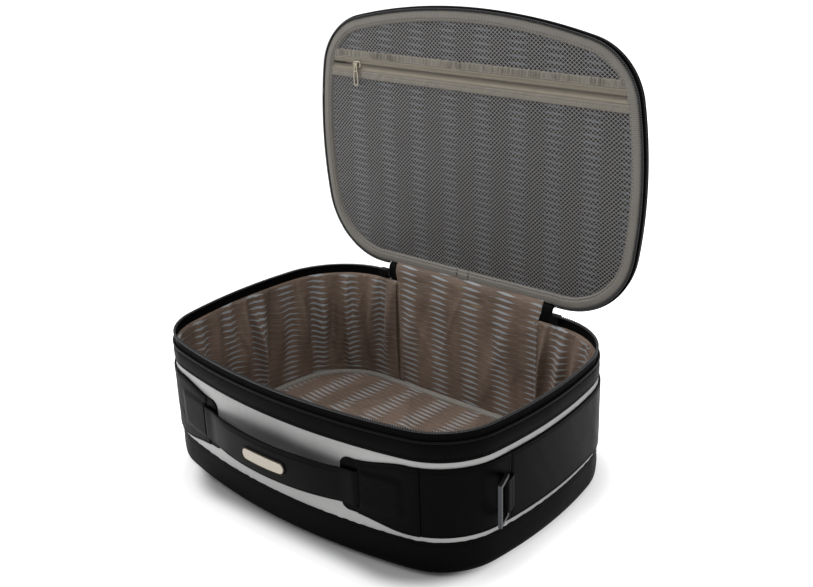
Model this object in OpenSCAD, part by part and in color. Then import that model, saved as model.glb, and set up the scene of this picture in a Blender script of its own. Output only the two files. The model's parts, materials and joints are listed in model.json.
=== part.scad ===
// Soft-sided makeup train case with a zip-round lid that stands open on a fabric hinge.
// Millimetres, Z up. X runs along the hinge, -Y is the handle side, z = 0 is the floor.

/* [Case] */
// Width over the leatherette walls, along the hinge
body_w = 356; // [300:1:420]
// Depth over the leatherette walls, handle side to hinge side
body_d = 252; // [225:1:300]
// Height of the open rim, at the top of the zip teeth
rim_h = 123; // [105:1:170]
// Radius of the bowed front wall
front_r = 560; // [420:5:900]
// Radius of the bowed side walls
side_r = 400; // [300:5:900]
// Radius of the two front corners
front_corner_r = 60; // [40:1:75]
// Radius of the two back corners
back_corner_r = 70; // [40:1:85]
// How far behind the middle the side walls are widest
side_mid_y = 5; // [0:1:12]
// Roll of the bottom edge
base_edge_r = 8; // [5:0.5:12]

/* [Walls] */
// Leatherette and satin thickness
skin_t = 1.2; // [0.8:0.1:1.6]
// Stiffener board in the walls
wall_board_t = 2.2; // [1.5:0.1:4]
// Stiffener board in the base
base_board_t = 2; // [1.5:0.1:4]
// Lining fabric thickness
lining_t = 0.8; // [0.6:0.1:1.2]
// Height of the black lower band
lower_band_h = 30; // [22:1:36]
// Height of the black upper band, satin to rim seam
upper_band_h = 15.5; // [12:0.5:22]
// Width of the satin stripe left showing above and below the belt
stripe_h = 4.5; // [3:0.5:7]
// Diameter of the thin piping in the rim seams
piping_d = 2; // [1.4:0.1:2.4]
// Distance of each back panel seam inward from the end of the hinge
back_seam_in = 12; // [8:0.5:20]
// How far the stiffener board stops below the rim seam
board_drop = 1; // [0.6:0.1:2]
// Width of the binding round the floor
floor_binding_w = 6.5; // [4:0.5:9]
// Height of the binding round the floor
floor_binding_h = 3; // [2:0.2:4]

/* [Belt] */
// Thickness of the padded belt tongues at the handle
tongue_t = 3; // [2.8:0.1:4.5]
// Thickness of the belt round the corners, sides and back
belt_t = 1.8; // [1.2:0.1:2.5]
// Distance of each tongue end inward from the side wall
tongue_in = 108; // [104:1:116]
// Distance of each handle slit inward from the side wall
slit_in = 92; // [86:1:98]
// Distance of each front seam inward from the side wall
front_seam_in = 41.5; // [36:0.5:48]
// Leather left above and below each slit
tongue_edge = 6; // [2:0.5:8]
// Height of a slit beyond the strap that passes it
slit_play = 4; // [2:0.5:6]
// Depth of the pocket behind each tongue that hides the strap end
pocket_l = 38; // [30:1:42]
// How far the tongue's edges bow outward
tongue_bow = 1; // [0.5:0.1:2]
// Corner cut of the tongue ends
tongue_round = 6; // [3:0.5:8]
// Depth in Y of the side seam, counted forward from the middle of the case
side_seam_y = 49; // [40:1:56]

/* [Handle] */
// Height of the handle strap
strap_h = 30; // [24:1:32]
// Thickness of the flat strap ends
strap_t = 2.2; // [1.6:0.1:3]
// Thickness of the padded grip
grip_t = 5; // [4:0.5:8]
// Length of each flat strap end, slit to grip
strap_end_l = 26; // [22:1:32]
// Finger gap behind the middle of the grip at rest
grip_gap = 7; // [5:0.5:12]
// How far the handle pulls out of its slits
handle_pull = 12; // [6:1:16]
// Length of the nameplate
plate_l = 46; // [30:1:60]
// Height of the nameplate
plate_h = 9.5; // [8:0.5:14]
// Thickness of the nameplate's rim
plate_t = 1.2; // [0.8:0.1:2]
// Width of the nameplate's rim
plate_rim = 1.2; // [0.8:0.1:2]
// How far the nameplate stands proud of its rim
plate_proud = 0.3; // [0.2:0.1:0.6]

/* [Strap rings] */
// Outside height of a strap ring
ring_h = 36; // [30:1:40]
// Outside width of a strap ring
ring_w = 19; // [16:1:24]
// Wire thickness of a strap ring
ring_t = 2.8; // [2.2:0.1:3.4]
// Leather thickness of the ring tabs
tab_t = 1.2; // [1:0.1:1.6]
// Distance of the ring's hinge bar in front of the side seam
ring_ahead = 9; // [7:0.5:12]
// How far the ring sits below the middle of the belt
ring_drop = 3; // [0:0.5:6]
// Angle of the rings off the front-to-back line at rest, degrees
ring_rest = 19; // [8:1:40]

/* [Zip round the rim] */
// Thickness of the zip tape
tape_t = 1; // [0.6:0.1:1.2]
// Height of zip tape between seam and teeth
tape_h = 8.4; // [6:0.2:10]
// Thickness of the row of teeth
teeth_t = 2; // [1.8:0.1:2.6]
// Height of the row of teeth
teeth_h = 1.6; // [1.2:0.1:2.4]
// Distance of each zip end inward from the start of the back corner
zip_end_in = 6.5; // [4:0.5:12]
// Width of a main slider
slider_w = 9; // [7:0.5:11]
// Thickness of a main slider's plates
slider_t = 1.4; // [1:0.1:1.8]
// Length of a main pull
pull_l = 22; // [16:1:25]
// Width of the pulls
pull_w = 6; // [5:0.5:8]
// Thickness of the pulls
pull_t = 1.4; // [1:0.1:1.8]
// Radius of the pin that a pull turns on
pin_r = 0.6; // [0.5:0.05:0.8]
// Radius of the knuckle of a pull
knuckle_r = 1.3; // [1.2:0.05:1.6]
// Width of the knuckle of a pull
knuckle_w = 3; // [2.4:0.1:4]
// Width of the lugs that hold a pin
lug_w = 1.2; // [0.8:0.1:1.6]

/* [Lid] */
// Opening angle of the lid as stored, degrees
lid_open = 90; // [60:1:120]
// Depth of the lid's side wall, opening to top edge
lid_h = 9.5; // [8.5:0.5:14]
// Rise of the padded lid top
lid_dome = 6; // [3:0.5:12]
// Stiffener board in the lid
lid_board_t = 2; // [1.5:0.1:3]
// Height of the leatherette wall of the lid
lid_wall_h = 4; // [3:0.5:6]
// Height of the lid's zip tape behind its wall
lid_tape_lap = 3; // [2:0.5:4]
// Depth from the lid's opening to its board
lid_board_in = 5.4; // [5:0.1:6]
// Depth from the lid's opening to the pocket mesh
mesh_in = 3.2; // [3:0.1:3.6]
// Thickness of the pocket mesh
mesh_t = 0.6; // [0.4:0.1:0.8]
// Width of the binding round the lid lining
binding_w = 10; // [5:0.5:12]
// How far the binding stops short of the lid's opening
binding_back = 1; // [0.6:0.1:1.6]
// Roundness of the binding's edges
binding_round = 1.6; // [1:0.1:2]

/* [Hinge] */
// Distance of each end of the fabric hinge inward from the zip end
hinge_in = 2.5; // [2.2:0.1:5]
// Distance of the hinge line behind the back wall
hinge_out = 2.2; // [1.8:0.1:3]
// Thickness of the hinge strip
strip_t = 1.4; // [1:0.1:1.8]
// How far the hinge strip runs down the back wall from the rim seam
strip_drop = 12; // [8:0.5:15]
// Height of the hinge strip on the lid's back wall
lid_strip_h = 8; // [6:0.5:12]

/* [Lid pocket] */
// Distance of the pocket zip from the free edge of the lid
pocket_zip_y = 59; // [45:1:75]
// Width of each ruched trim beside the zip
trim_w = 7; // [5:0.5:9]
// Width of each half of the pocket zip tape
pocket_tape_w = 4.3; // [3.5:0.1:6]
// Distance of the parked slider inward from the side wall
pocket_slider_in = 50; // [40:1:70]
// Width of one half of the pocket zip's coil
coil_w = 1.2; // [0.9:0.1:1.6]
// Gap between the two halves of the coil, where the slider's wedge runs
coil_gap = 1; // [0.8:0.1:1.4]
// How far the coil stands proud of its tape
coil_proud = 0.4; // [0.3:0.1:0.8]
// Length of the pocket slider
pocket_slider_l = 9; // [7:0.5:11]
// Width of the pocket slider
pocket_slider_w = 6.4; // [5.6:0.2:8]
// Thickness of the pocket slider's plate
pocket_plate_t = 0.8; // [0.6:0.1:1.2]
// Thickness of the pocket slider's wedge
wedge_t = 0.6; // [0.4:0.05:0.7]
// Length of the pocket pull
pocket_pull_l = 20; // [14:1:24]

/* [Fits] */
// Gap between a pin and its bore, on the radius
pin_fit = 0.05; // [0.02:0.01:0.1]
// Gap between soft pieces that move against each other
soft_gap = 0.5; // [0.3:0.05:0.7]
// Gap between the closed rows of teeth
teeth_gap = 0.4; // [0.3:0.05:0.6]
// Gap between neighbouring panels
seam_gap = 0.3; // [0.2:0.05:0.5]
// Gap between the pocket slider and the coil it runs on
run_gap = 0.35; // [0.25:0.05:0.5]
// Gap between a pull's knuckle and the lugs and plate beside it
lug_gap = 0.1; // [0.05:0.05:0.2]

/* [Hidden] */
$fn = 48;

// Steps along the front, a front corner, a side and a back corner of the plan outline
front_n = 6;
front_corner_n = 8;
side_n = 4;
back_corner_n = 9;
over = 20;

// Layers of the wall, counted inward from the leatherette face
board_in = skin_t;
lining_in = board_in + wall_board_t;
lining_face = lining_in + lining_t;
tape_in = skin_t;
teeth_in = tape_in + tape_t / 2 - teeth_t / 2;

// Heights, from the floor up
floor_z = skin_t + base_board_t;
inside_z = floor_z + lining_t;
teeth_z = rim_h - teeth_h;
band_top = teeth_z - tape_h;
satin_top = band_top - upper_band_h;
board_top = band_top - board_drop;
belt_z0 = lower_band_h + stripe_h;
belt_z1 = satin_top - stripe_h;
belt_h = belt_z1 - belt_z0;
belt_mid = (belt_z0 + belt_z1) / 2;

// Hinge line
back_y = body_d / 2;
axis_y = back_y + hinge_out;
axis_z = rim_h + hinge_out + teeth_gap;
fold_r = hinge_out - soft_gap;
strip_z0 = band_top - strip_drop;
strip_z1 = axis_z - soft_gap - teeth_gap;

// Centres of the plan arcs
front_c = [0, front_r - body_d / 2];
side_c = [body_w / 2 - side_r, side_mid_y];
back_cy = body_d / 2 - back_corner_r;
back_c = [side_c.x + sqrt(pow(side_r - back_corner_r, 2) - pow(back_cy - side_mid_y, 2)), back_cy];
corner_c = meet(front_c, front_r - front_corner_r, side_c, side_r - front_corner_r);

// Bearings where the arcs change
front_a = bearing(front_c, corner_c);
side_a0 = bearing(side_c, corner_c);
side_a1 = bearing(side_c, back_c);

// Half widths at the hinge side, from the back corner inward
zip_end_x = back_c.x - zip_end_in;
hinge_x = zip_end_x - hinge_in;
back_panel_x = hinge_x - back_seam_in;

// Lower crossing of two circles
function meet(p, rp, q, rq) =
  let (d = norm(q - p))
  let (a = (rp * rp - rq * rq + d * d) / (2 * d))
  let (h = sqrt(rp * rp - a * a))
  let (u = (q - p) / d)
  let (m = p + a * u)
  let (one = m + h * [-u.y, u.x])
  let (two = m - h * [-u.y, u.x])
  one.y < two.y ? one : two;
function bearing(from, to) = atan2(to.y - from.y, to.x - from.x);
function arc(c, r, a0, a1, n) =
  [for (k = [0:n - 1]) let (a = a0 + (a1 - a0) * k / n) c + r * [cos(a), sin(a)]];
// Right half of the outline moved inward by i, front middle to the end of the back corner
function half(i) = concat(
  arc(front_c, front_r - i, -90, front_a, front_n),
  arc(corner_c, front_corner_r - i, front_a, side_a0, front_corner_n),
  arc(side_c, side_r - i, side_a0, side_a1, side_n),
  arc(back_c, back_corner_r - i, side_a1, 90, back_corner_n),
  [[back_c.x, back_y - i]]);
function flipped(h) = [for (k = [len(h) - 1:-1:1]) [-h[k].x, h[k].y]];
function outline(i) = let (h = half(i)) concat(h, flipped(h));
// The same outline left open at the back between -gap and gap
function track(i, gap) = let (h = half(i)) concat(
  [[-gap, back_y - i]], flipped(h), h, [[gap, back_y - i]]);
function at(path_of, i, z) = [for (p = path_of) [p.x, p.y, z]];
function front_y(x, out) = front_c.y - sqrt(pow(front_r + out, 2) - x * x);
function side_x(y, out) = side_c.x + sqrt(pow(side_r + out, 2) - pow(y - side_mid_y, 2));

// Profile of [inset, height] pairs carried round the whole outline
module hoop(profile) {
  n = len(profile);
  m = len(outline(0));
  points = [for (p = profile) each at(outline(p[0]), p[0], p[1])];
  faces = [for (j = [0:n - 1]) for (k = [0:m - 1])
    let (a = j * m + k, b = j * m + (k + 1) % m)
    let (c = ((j + 1) % n) * m + (k + 1) % m, d = ((j + 1) % n) * m + k)
    each [[a, b, c], [a, c, d]]];
  polyhedron(points, faces);
}

// The same profile left open at the back, with closed ends
module open_hoop(profile, gap) {
  n = len(profile);
  m = len(track(0, gap));
  points = [for (p = profile) each at(track(p[0], gap), p[0], p[1])];
  sides = [for (j = [0:n - 1]) for (k = [0:m - 2])
    let (a = j * m + k, b = j * m + k + 1)
    let (c = ((j + 1) % n) * m + k + 1, d = ((j + 1) % n) * m + k)
    each [[a, b, c], [a, c, d]]];
  first = [for (j = [0:n - 1]) j * m];
  last = [for (j = [n - 1:-1:0]) j * m + m - 1];
  polyhedron(points, concat(sides, [first, last]));
}

module plan(i) {
  polygon(outline(i));
}

module band_plan(i0, i1) {
  difference() {
    plan(i0);
    plan(i1);
  }
}

module wall(i0, i1, z0, z1) {
  translate([0, 0, z0])
    linear_extrude(z1 - z0)
      band_plan(i0, i1);
}

module behind(half_w) {
  translate([-half_w, 0])
    square([2 * half_w, body_d]);
}

module c_wall(i0, i1, z0, z1, gap) {
  translate([0, 0, z0])
    linear_extrude(z1 - z0)
      difference() {
        band_plan(i0, i1);
        behind(gap);
      }
}

module back_wall(i0, i1, z0, z1, half_w) {
  translate([0, 0, z0])
    linear_extrude(z1 - z0)
      intersection() {
        band_plan(i0, i1);
        behind(half_w);
      }
}

module mirrored() {
  mirror([1, 0, 0])
    children();
}

// Base and walls
module base_panel() {
  color("#17171a")
    linear_extrude(skin_t)
      plan(base_edge_r);
}

module base_board() {
  color("#8a7a62")
    translate([0, 0, skin_t])
      linear_extrude(base_board_t)
        plan(base_edge_r);
}

function roll(r) = [for (a = [0:15:90])
  [base_edge_r - r * cos(a), base_edge_r - r * sin(a)]];
function unroll(r) = [for (a = [90:-15:0])
  [base_edge_r - r * cos(a), base_edge_r - r * sin(a)]];

module lower_band() {
  color("#17171a")
    hoop(concat([[skin_t, lower_band_h], [0, lower_band_h]],
      roll(base_edge_r), unroll(base_edge_r - skin_t)));
}

module silver_band() {
  color("#b9bcc0")
    wall(0, skin_t, lower_band_h, satin_top);
}

module upper_band() {
  color("#17171a")
    wall(0, skin_t, satin_top, band_top);
}

module wall_board() {
  color("#8a7a62")
    wall(board_in, lining_in, base_edge_r, board_top);
}

function cord_profile(inset, z) = [for (a = [22.5:45:337.5])
  [inset + piping_d / 2 * cos(a) / cos(22.5), z + piping_d / 2 * sin(a) / cos(22.5)]];

module rim_piping() {
  color("#0e0e10")
    open_hoop(cord_profile(skin_t - piping_d / 2, band_top + piping_d / 2), zip_end_x);
}

// Belt
tongue_x = body_w / 2 - tongue_in;
slit_x = body_w / 2 - slit_in;
front_seam_x = body_w / 2 - front_seam_in;
slit_h = strap_h + slit_play;
slit_w = 2 * strap_t;
tongue_end_h = slit_h + 2 * tongue_edge;
pocket_t = tongue_t - skin_t;

module tongue_face() {
  reach = front_seam_x - tongue_x;
  difference() {
    polygon([
      [tongue_x, belt_mid - tongue_end_h / 2 + tongue_round],
      [tongue_x + tongue_round, belt_mid - tongue_end_h / 2],
      [tongue_x + reach * 0.45, belt_mid - tongue_end_h / 2 - tongue_bow],
      [tongue_x + reach * 0.8, belt_z0 + tongue_bow],
      [front_seam_x - seam_gap, belt_z0],
      [front_seam_x - seam_gap, belt_z1],
      [tongue_x + reach * 0.8, belt_z1 - tongue_bow],
      [tongue_x + reach * 0.45, belt_mid + tongue_end_h / 2 + tongue_bow],
      [tongue_x + tongue_round, belt_mid + tongue_end_h / 2],
      [tongue_x, belt_mid + tongue_end_h / 2 - tongue_round]]);
    translate([slit_x - slit_w / 2, belt_mid - slit_h / 2])
      square([slit_w, slit_h]);
  }
}

module belt_tongue_right() {
  color("#1c1c1f")
    difference() {
      intersection() {
        wall(-tongue_t, 0, belt_z0, belt_z1);
        translate([0, over, 0])
          rotate([90, 0, 0])
            linear_extrude(body_d)
              tongue_face();
      }
      intersection() {
        wall(-pocket_t, 0, belt_mid - slit_h / 2, belt_mid + slit_h / 2);
        translate([slit_x - slit_w / 2, -body_d, 0])
          cube([pocket_l, body_d, rim_h]);
      }
    }
}

module belt_tongue_left() {
  mirrored() belt_tongue_right();
}

module strap_anchor_right() {
  color("#202023")
    intersection() {
      wall(-pocket_t + seam_gap, 0, belt_mid - strap_h / 2, belt_mid + strap_h / 2);
      translate([slit_x + slit_w / 2, -body_d, 0])
        cube([pocket_l - slit_w - slit_w / 2, body_d, rim_h]);
    }
}

module strap_anchor_left() {
  mirrored() strap_anchor_right();
}

module belt_corner_right() {
  color("#1c1c1f")
    intersection() {
      wall(-belt_t, 0, belt_z0, belt_z1);
      translate([front_seam_x, -body_d, 0])
        cube([body_w, body_d - side_seam_y - seam_gap, rim_h]);
    }
}

module belt_corner_left() {
  mirrored() belt_corner_right();
}

module belt_side_right() {
  color("#1c1c1f")
    intersection() {
      wall(-belt_t, 0, belt_z0, belt_z1);
      translate([zip_end_x, -side_seam_y, 0])
        cube([body_w, body_d, rim_h]);
    }
}

module belt_side_left() {
  mirrored() belt_side_right();
}

module belt_back() {
  color("#1c1c1f")
    back_wall(-belt_t, 0, belt_z0, belt_z1, zip_end_x - seam_gap);
}

// Ring tabs and rings
tab_h = ring_h - 2 * ring_t - 2 * soft_gap - tab_t;
tab_r = ring_t / 2 + pin_fit + tab_t;
ring_z = belt_mid - ring_drop;
ring_y = -side_seam_y - ring_ahead;
ring_x = side_x(ring_y, belt_t) + tab_r + seam_gap;
tab_root_y = -side_seam_y - seam_gap;
tab_root_x = side_x(tab_root_y, belt_t);

module ring_tab_right() {
  color("#1c1c1f")
    translate([0, 0, ring_z - tab_h / 2])
      difference() {
        linear_extrude(tab_h)
          union() {
            translate([ring_x, ring_y])
              circle(tab_r);
            polygon([
              [ring_x - tab_r + tab_t / 2, ring_y],
              [ring_x + tab_r - tab_t / 2, ring_y],
              [tab_root_x + 2 * tab_t + seam_gap, tab_root_y],
              [tab_root_x + seam_gap, tab_root_y]]);
          }
        translate([ring_x, ring_y, -over])
          cylinder(h = tab_h + 2 * over, r = ring_t / 2 + pin_fit);
      }
}

module ring_tab_left() {
  mirrored() ring_tab_right();
}

module strap_ring_right() {
  color("#3a3b40")
    translate([ring_x, ring_y, ring_z])
      rotate([0, 0, ring_rest])
        union() {
          cylinder(h = ring_h - 2 * ring_t, r = ring_t / 2, center = true);
          for (s = [-1, 1])
            translate([-ring_t / 2, -ring_w + ring_t, s * (ring_h - ring_t) / 2 - ring_t / 2])
              cube([ring_t, ring_w - ring_t / 2, ring_t]);
          translate([-ring_t / 2, ring_t / 2 - ring_w, -ring_h / 2])
            cube([ring_t, ring_t, ring_h]);
        }
}

module strap_ring_left() {
  mirrored() strap_ring_right();
}

// Lining
module lining_walls() {
  color("#75614f")
    c_wall(lining_in, lining_face, inside_z, board_top, back_panel_x + seam_gap);
}

module lining_back() {
  color("#75614f")
    back_wall(lining_in, lining_face, inside_z, teeth_z, back_panel_x);
}

module lining_floor() {
  color("#75614f")
    translate([0, 0, floor_z])
      linear_extrude(lining_t)
        plan(lining_in);
}

module floor_binding() {
  i0 = lining_face;
  i1 = lining_face + floor_binding_w;
  color("#8d8174")
    hoop([[i0, inside_z], [i0, inside_z + floor_binding_h * 0.6],
      [i0 + floor_binding_w * 0.3, inside_z + floor_binding_h],
      [i1 - floor_binding_w * 0.3, inside_z + floor_binding_h],
      [i1, inside_z + floor_binding_h * 0.6], [i1, inside_z]]);
}

// Zip round the rim
module rim_tape() {
  color("#0e0e10")
    c_wall(tape_in, tape_in + tape_t, board_top, teeth_z, zip_end_x);
}

module rim_teeth() {
  color("#26262a")
    c_wall(teeth_in, teeth_in + teeth_t, teeth_z, rim_h, zip_end_x);
}

// Hinge
module hinge_rim() {
  color("#0e0e10")
    back_wall(0, lining_in, band_top, teeth_z, hinge_x);
}

module hinge_strip() {
  color("#141417")
    difference() {
      translate([-hinge_x, back_y, strip_z0])
        cube([2 * hinge_x, strip_t, strip_z1 - strip_z0]);
      translate([0, axis_y, axis_z])
        rotate([0, 90, 0])
          cylinder(h = 2 * hinge_x + over, r = fold_r, center = true);
    }
}

module hinge_fold() {
  color("#141417")
    translate([0, axis_y, axis_z])
      rotate([0, 90, 0])
        cylinder(h = 2 * hinge_x, r = fold_r, center = true);
}

// Main sliders and pulls
neck_t = hinge_in / 2;
slider_x = zip_end_x - seam_gap - neck_t + slider_w / 2;
slider_z0 = band_top + piping_d + soft_gap;
slider_y1 = back_y + slider_t - teeth_in;
pull_y = slider_y1 + knuckle_r + 2 * lug_gap;
pull_z = slider_z0 + knuckle_r;

// Pin on two lugs that stand on a slider's plate, which lies towards side in Y
module lugs_and_pin(side) {
  rotate([0, 90, 0])
    cylinder(h = knuckle_w + 2 * lug_w, r = pin_r, center = true);
  for (s = [-1, 1])
    translate([s * (knuckle_w / 2 + lug_w / 2 + lug_gap), side * lug_gap, 0])
      cube([lug_w, 2 * knuckle_r + 2 * lug_gap, 2 * knuckle_r], center = true);
}

module pull_tab(length) {
  difference() {
    union() {
      rotate([0, 90, 0])
        cylinder(h = knuckle_w, r = knuckle_r, center = true);
      translate([-knuckle_w / 2, -pull_t / 2, -3 * knuckle_r])
        cube([knuckle_w, pull_t, 3 * knuckle_r]);
      translate([-pull_w / 2, -pull_t / 2, -length])
        cube([pull_w, pull_t, length - 2 * knuckle_r]);
    }
    rotate([0, 90, 0])
      cylinder(h = knuckle_w + over, r = pin_r + pin_fit, center = true);
    translate([0, pull_t, -length + pull_w * 0.7])
      rotate([90, 0, 0])
        cylinder(h = 2 * pull_t, r = pull_w / 4);
  }
}

module slider_right() {
  color("#26262a")
    union() {
      translate([slider_x - slider_w / 2, back_y - teeth_in, slider_z0])
        cube([slider_w, slider_t, rim_h - slider_z0]);
      translate([slider_x - slider_w / 2, back_y - lining_face - slider_t, slider_z0])
        cube([slider_w, slider_t, rim_h - slider_z0]);
      translate([slider_x - slider_w / 2, back_y - lining_face - slider_t, slider_z0])
        cube([neck_t, lining_face + 2 * slider_t - teeth_in, rim_h - slider_z0]);
      translate([slider_x, pull_y, pull_z])
        lugs_and_pin(-1);
    }
}

module slider_left() {
  mirrored() slider_right();
}

module pull_right() {
  color("#26262a")
    translate([slider_x, pull_y, pull_z])
      pull_tab(pull_l);
}

module pull_left() {
  mirrored() pull_right();
}

// Handle
grip_x = slit_x - strap_end_l;
grip_end_y = front_y(grip_x, tongue_t + soft_gap);
grip_mid_y = -body_d / 2 - grip_gap;
grip_sag = grip_end_y - grip_mid_y;
grip_r = (grip_x * grip_x + grip_sag * grip_sag) / (2 * grip_sag);
grip_cy = grip_mid_y + grip_r;

module grip_shell(t0, t1, height) {
  translate([0, grip_cy, belt_mid])
    difference() {
      cylinder(h = height, r = grip_r + t1, center = true, $fn = 96);
      cylinder(h = height + over, r = grip_r + t0, center = true, $fn = 96);
    }
}

module grip() {
  color("#19191c")
    intersection() {
      grip_shell(0, grip_t, strap_h);
      translate([-grip_x, -body_d, 0])
        cube([2 * grip_x, body_d, rim_h]);
    }
}

module strap_end_right() {
  color("#19191c")
    intersection() {
      wall(-tongue_t - soft_gap - strap_t, -tongue_t - soft_gap,
        belt_mid - strap_h / 2, belt_mid + strap_h / 2);
      translate([grip_x, -body_d, 0])
        cube([strap_end_l, body_d, rim_h]);
    }
}

module strap_end_left() {
  mirrored() strap_end_right();
}

module pill(length, height) {
  translate([0, 0, belt_mid])
    rotate([90, 0, 0])
      linear_extrude(body_d)
        union() {
          square([length - height, height], center = true);
          for (s = [-1, 1])
            translate([s * (length - height) / 2, 0])
              circle(height / 2);
        }
}

module nameplate_rim() {
  color("#1a1714")
    intersection() {
      grip_shell(grip_t, grip_t + plate_t, strap_h);
      difference() {
        pill(plate_l + 2 * plate_rim, plate_h + 2 * plate_rim);
        pill(plate_l, plate_h);
      }
    }
}

module nameplate() {
  color("#d8c3a0")
    intersection() {
      grip_shell(grip_t, grip_t + plate_t + plate_proud, strap_h);
      pill(plate_l, plate_h);
    }
}

// Lid, drawn closed with its opening at z = 0 and then turned about the hinge line
module on_lid() {
  translate([0, axis_y, axis_z])
    rotate([-lid_open, 0, 0])
      translate([0, -axis_y, rim_h + teeth_gap - axis_z])
        children();
}

lid_seam_z = lid_h - lid_wall_h;
binding_in = tape_in + tape_t + seam_gap;
binding_face = binding_in + binding_w;
lid_board_z = lid_board_in;
lid_pad_z = lid_board_z + lid_board_t;
lid_lining_z = lid_board_z - lining_t;
mesh_z = mesh_in;

function cap_rise(s) = lid_dome * (1 - s * s);
cap_steps = [1, 0.95, 0.85, 0.7, 0.5, 0.28];
function cap_ring(i, s, z) = [for (p = outline(i)) [p.x * s, p.y * s, z]];

// Domed plate: its top rises to lid_dome, its underside is flat or follows the top
module cap(i, top_z, under_z, under_dome) {
  m = len(outline(0));
  n = len(cap_steps);
  tops = [for (s = cap_steps) each cap_ring(i, s, top_z + cap_rise(s))];
  unders = [for (s = cap_steps) each cap_ring(i, s, under_z + under_dome * cap_rise(s))];
  points = concat(tops, unders, [[0, 0, top_z + lid_dome], [0, 0, under_z + under_dome * lid_dome]]);
  u = n * m;
  t_mid = 2 * u;
  top_faces = [for (j = [0:n - 2]) for (k = [0:m - 1])
    let (a = j * m + k, b = j * m + (k + 1) % m)
    each [[a, b + m, b], [a, a + m, b + m]]];
  under_faces = [for (j = [0:n - 2]) for (k = [0:m - 1])
    let (a = u + j * m + k, b = u + j * m + (k + 1) % m)
    each [[a, b, b + m], [a, b + m, a + m]]];
  rim_faces = [for (k = [0:m - 1])
    let (a = k, b = (k + 1) % m)
    each [[a, b, b + u], [a, b + u, a + u]]];
  hub = [for (k = [0:m - 1])
    let (a = (n - 1) * m + k, b = (n - 1) * m + (k + 1) % m)
    each [[a, t_mid, b], [u + a, u + b, t_mid + 1]]];
  polyhedron(points, concat(top_faces, under_faces, rim_faces, hub));
}

module lid_skin() {
  color("#17171a")
    on_lid()
      cap(0, lid_h + skin_t, lid_h, 1);
}

module lid_pad() {
  color("#c9c3b4")
    on_lid()
      cap(binding_in, lid_h - seam_gap, lid_pad_z, 0);
}

module lid_board() {
  color("#8a7a62")
    on_lid()
      translate([0, 0, lid_board_z])
        linear_extrude(lid_board_t)
          plan(binding_in);
}

module lid_wall() {
  color("#17171a")
    on_lid()
      wall(0, skin_t, lid_seam_z, lid_h);
}

module lid_piping() {
  color("#0e0e10")
    on_lid()
      open_hoop(cord_profile(skin_t - piping_d / 2, lid_seam_z - piping_d / 2), zip_end_x);
}

module lid_tape() {
  color("#0e0e10")
    on_lid()
      c_wall(tape_in, tape_in + tape_t, teeth_h, lid_seam_z + lid_tape_lap, zip_end_x);
}

module lid_teeth() {
  color("#26262a")
    on_lid()
      c_wall(teeth_in, teeth_in + teeth_t, 0, teeth_h, zip_end_x);
}

module lid_hinge_strip() {
  color("#141417")
    on_lid()
      difference() {
        union() {
          translate([-hinge_x, back_y, axis_z - rim_h])
            cube([2 * hinge_x, strip_t, lid_strip_h]);
          back_wall(0, tape_in + tape_t, teeth_h, lid_seam_z, hinge_x);
          back_wall(-strip_t / 2, tape_in, axis_z - rim_h, lid_seam_z, hinge_x);
        }
        translate([0, axis_y, axis_z - rim_h - teeth_gap])
          rotate([0, 90, 0])
            cylinder(h = 2 * hinge_x + over, r = hinge_out - soft_gap / 3, center = true);
      }
}

module lid_lining() {
  color("#6f6a68")
    on_lid()
      translate([0, 0, lid_lining_z])
        linear_extrude(lining_t)
          plan(binding_face);
}

module lid_binding() {
  low = lid_board_z;
  color("#8d8174")
    on_lid()
        hoop([[binding_in, low], [binding_in, binding_back + binding_round],
        [binding_in + binding_w * 0.2, binding_back + binding_round / 4],
        [binding_in + binding_w * 0.5, binding_back],
        [binding_in + binding_w * 0.8, binding_back + binding_round / 4],
        [binding_face, binding_back + binding_round], [binding_face, low]]);
}

// Pocket pieces, each a strip of the lid's inside between two distances from the zip line
zip_y = pocket_zip_y - body_d / 2;
coil_edge = coil_gap / 2 + coil_w;
tape_edge = coil_edge + pocket_tape_w;
trim_edge = tape_edge + trim_w;

module strip(y0, y1, z0, thickness) {
  on_lid()
    translate([0, 0, z0])
      linear_extrude(thickness)
        intersection() {
          plan(binding_face);
          translate([-body_w, y0])
            square([2 * body_w, y1 - y0]);
        }
}

module mesh_upper() {
  color("#55565a")
    strip(-body_d, zip_y - trim_edge, mesh_z, mesh_t);
}

module mesh_lower() {
  color("#55565a")
    strip(zip_y + trim_edge, body_d, mesh_z, mesh_t);
}

module trim_upper() {
  color("#8d8174")
    strip(zip_y - trim_edge, zip_y - tape_edge, mesh_z - mesh_t, 2 * mesh_t);
}

module trim_lower() {
  color("#8d8174")
    strip(zip_y + tape_edge, zip_y + trim_edge, mesh_z - mesh_t, 2 * mesh_t);
}

module pocket_tape_upper() {
  color("#8d8174")
    strip(zip_y - tape_edge, zip_y - coil_edge, mesh_z, mesh_t);
}

module pocket_tape_lower() {
  color("#8d8174")
    strip(zip_y + coil_edge, zip_y + tape_edge, mesh_z, mesh_t);
}

module pocket_coil() {
  color("#a59a8c")
    for (s = [-1, 1])
      strip(zip_y + s * (coil_gap + coil_w) / 2 - coil_w / 2,
        zip_y + s * (coil_gap + coil_w) / 2 + coil_w / 2, mesh_z - coil_proud, mesh_t + coil_proud);
}

// Pocket slider and its pull
pocket_slider_x = body_w / 2 - pocket_slider_in;
plate_gap_z = mesh_z - coil_proud - run_gap;
pocket_pin_z = plate_gap_z - pocket_plate_t - knuckle_r - 2 * lug_gap;

module on_pocket_pin() {
  on_lid()
    translate([-pocket_slider_x, zip_y, pocket_pin_z])
      rotate([90, 0, 0])
        children();
}

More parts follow.
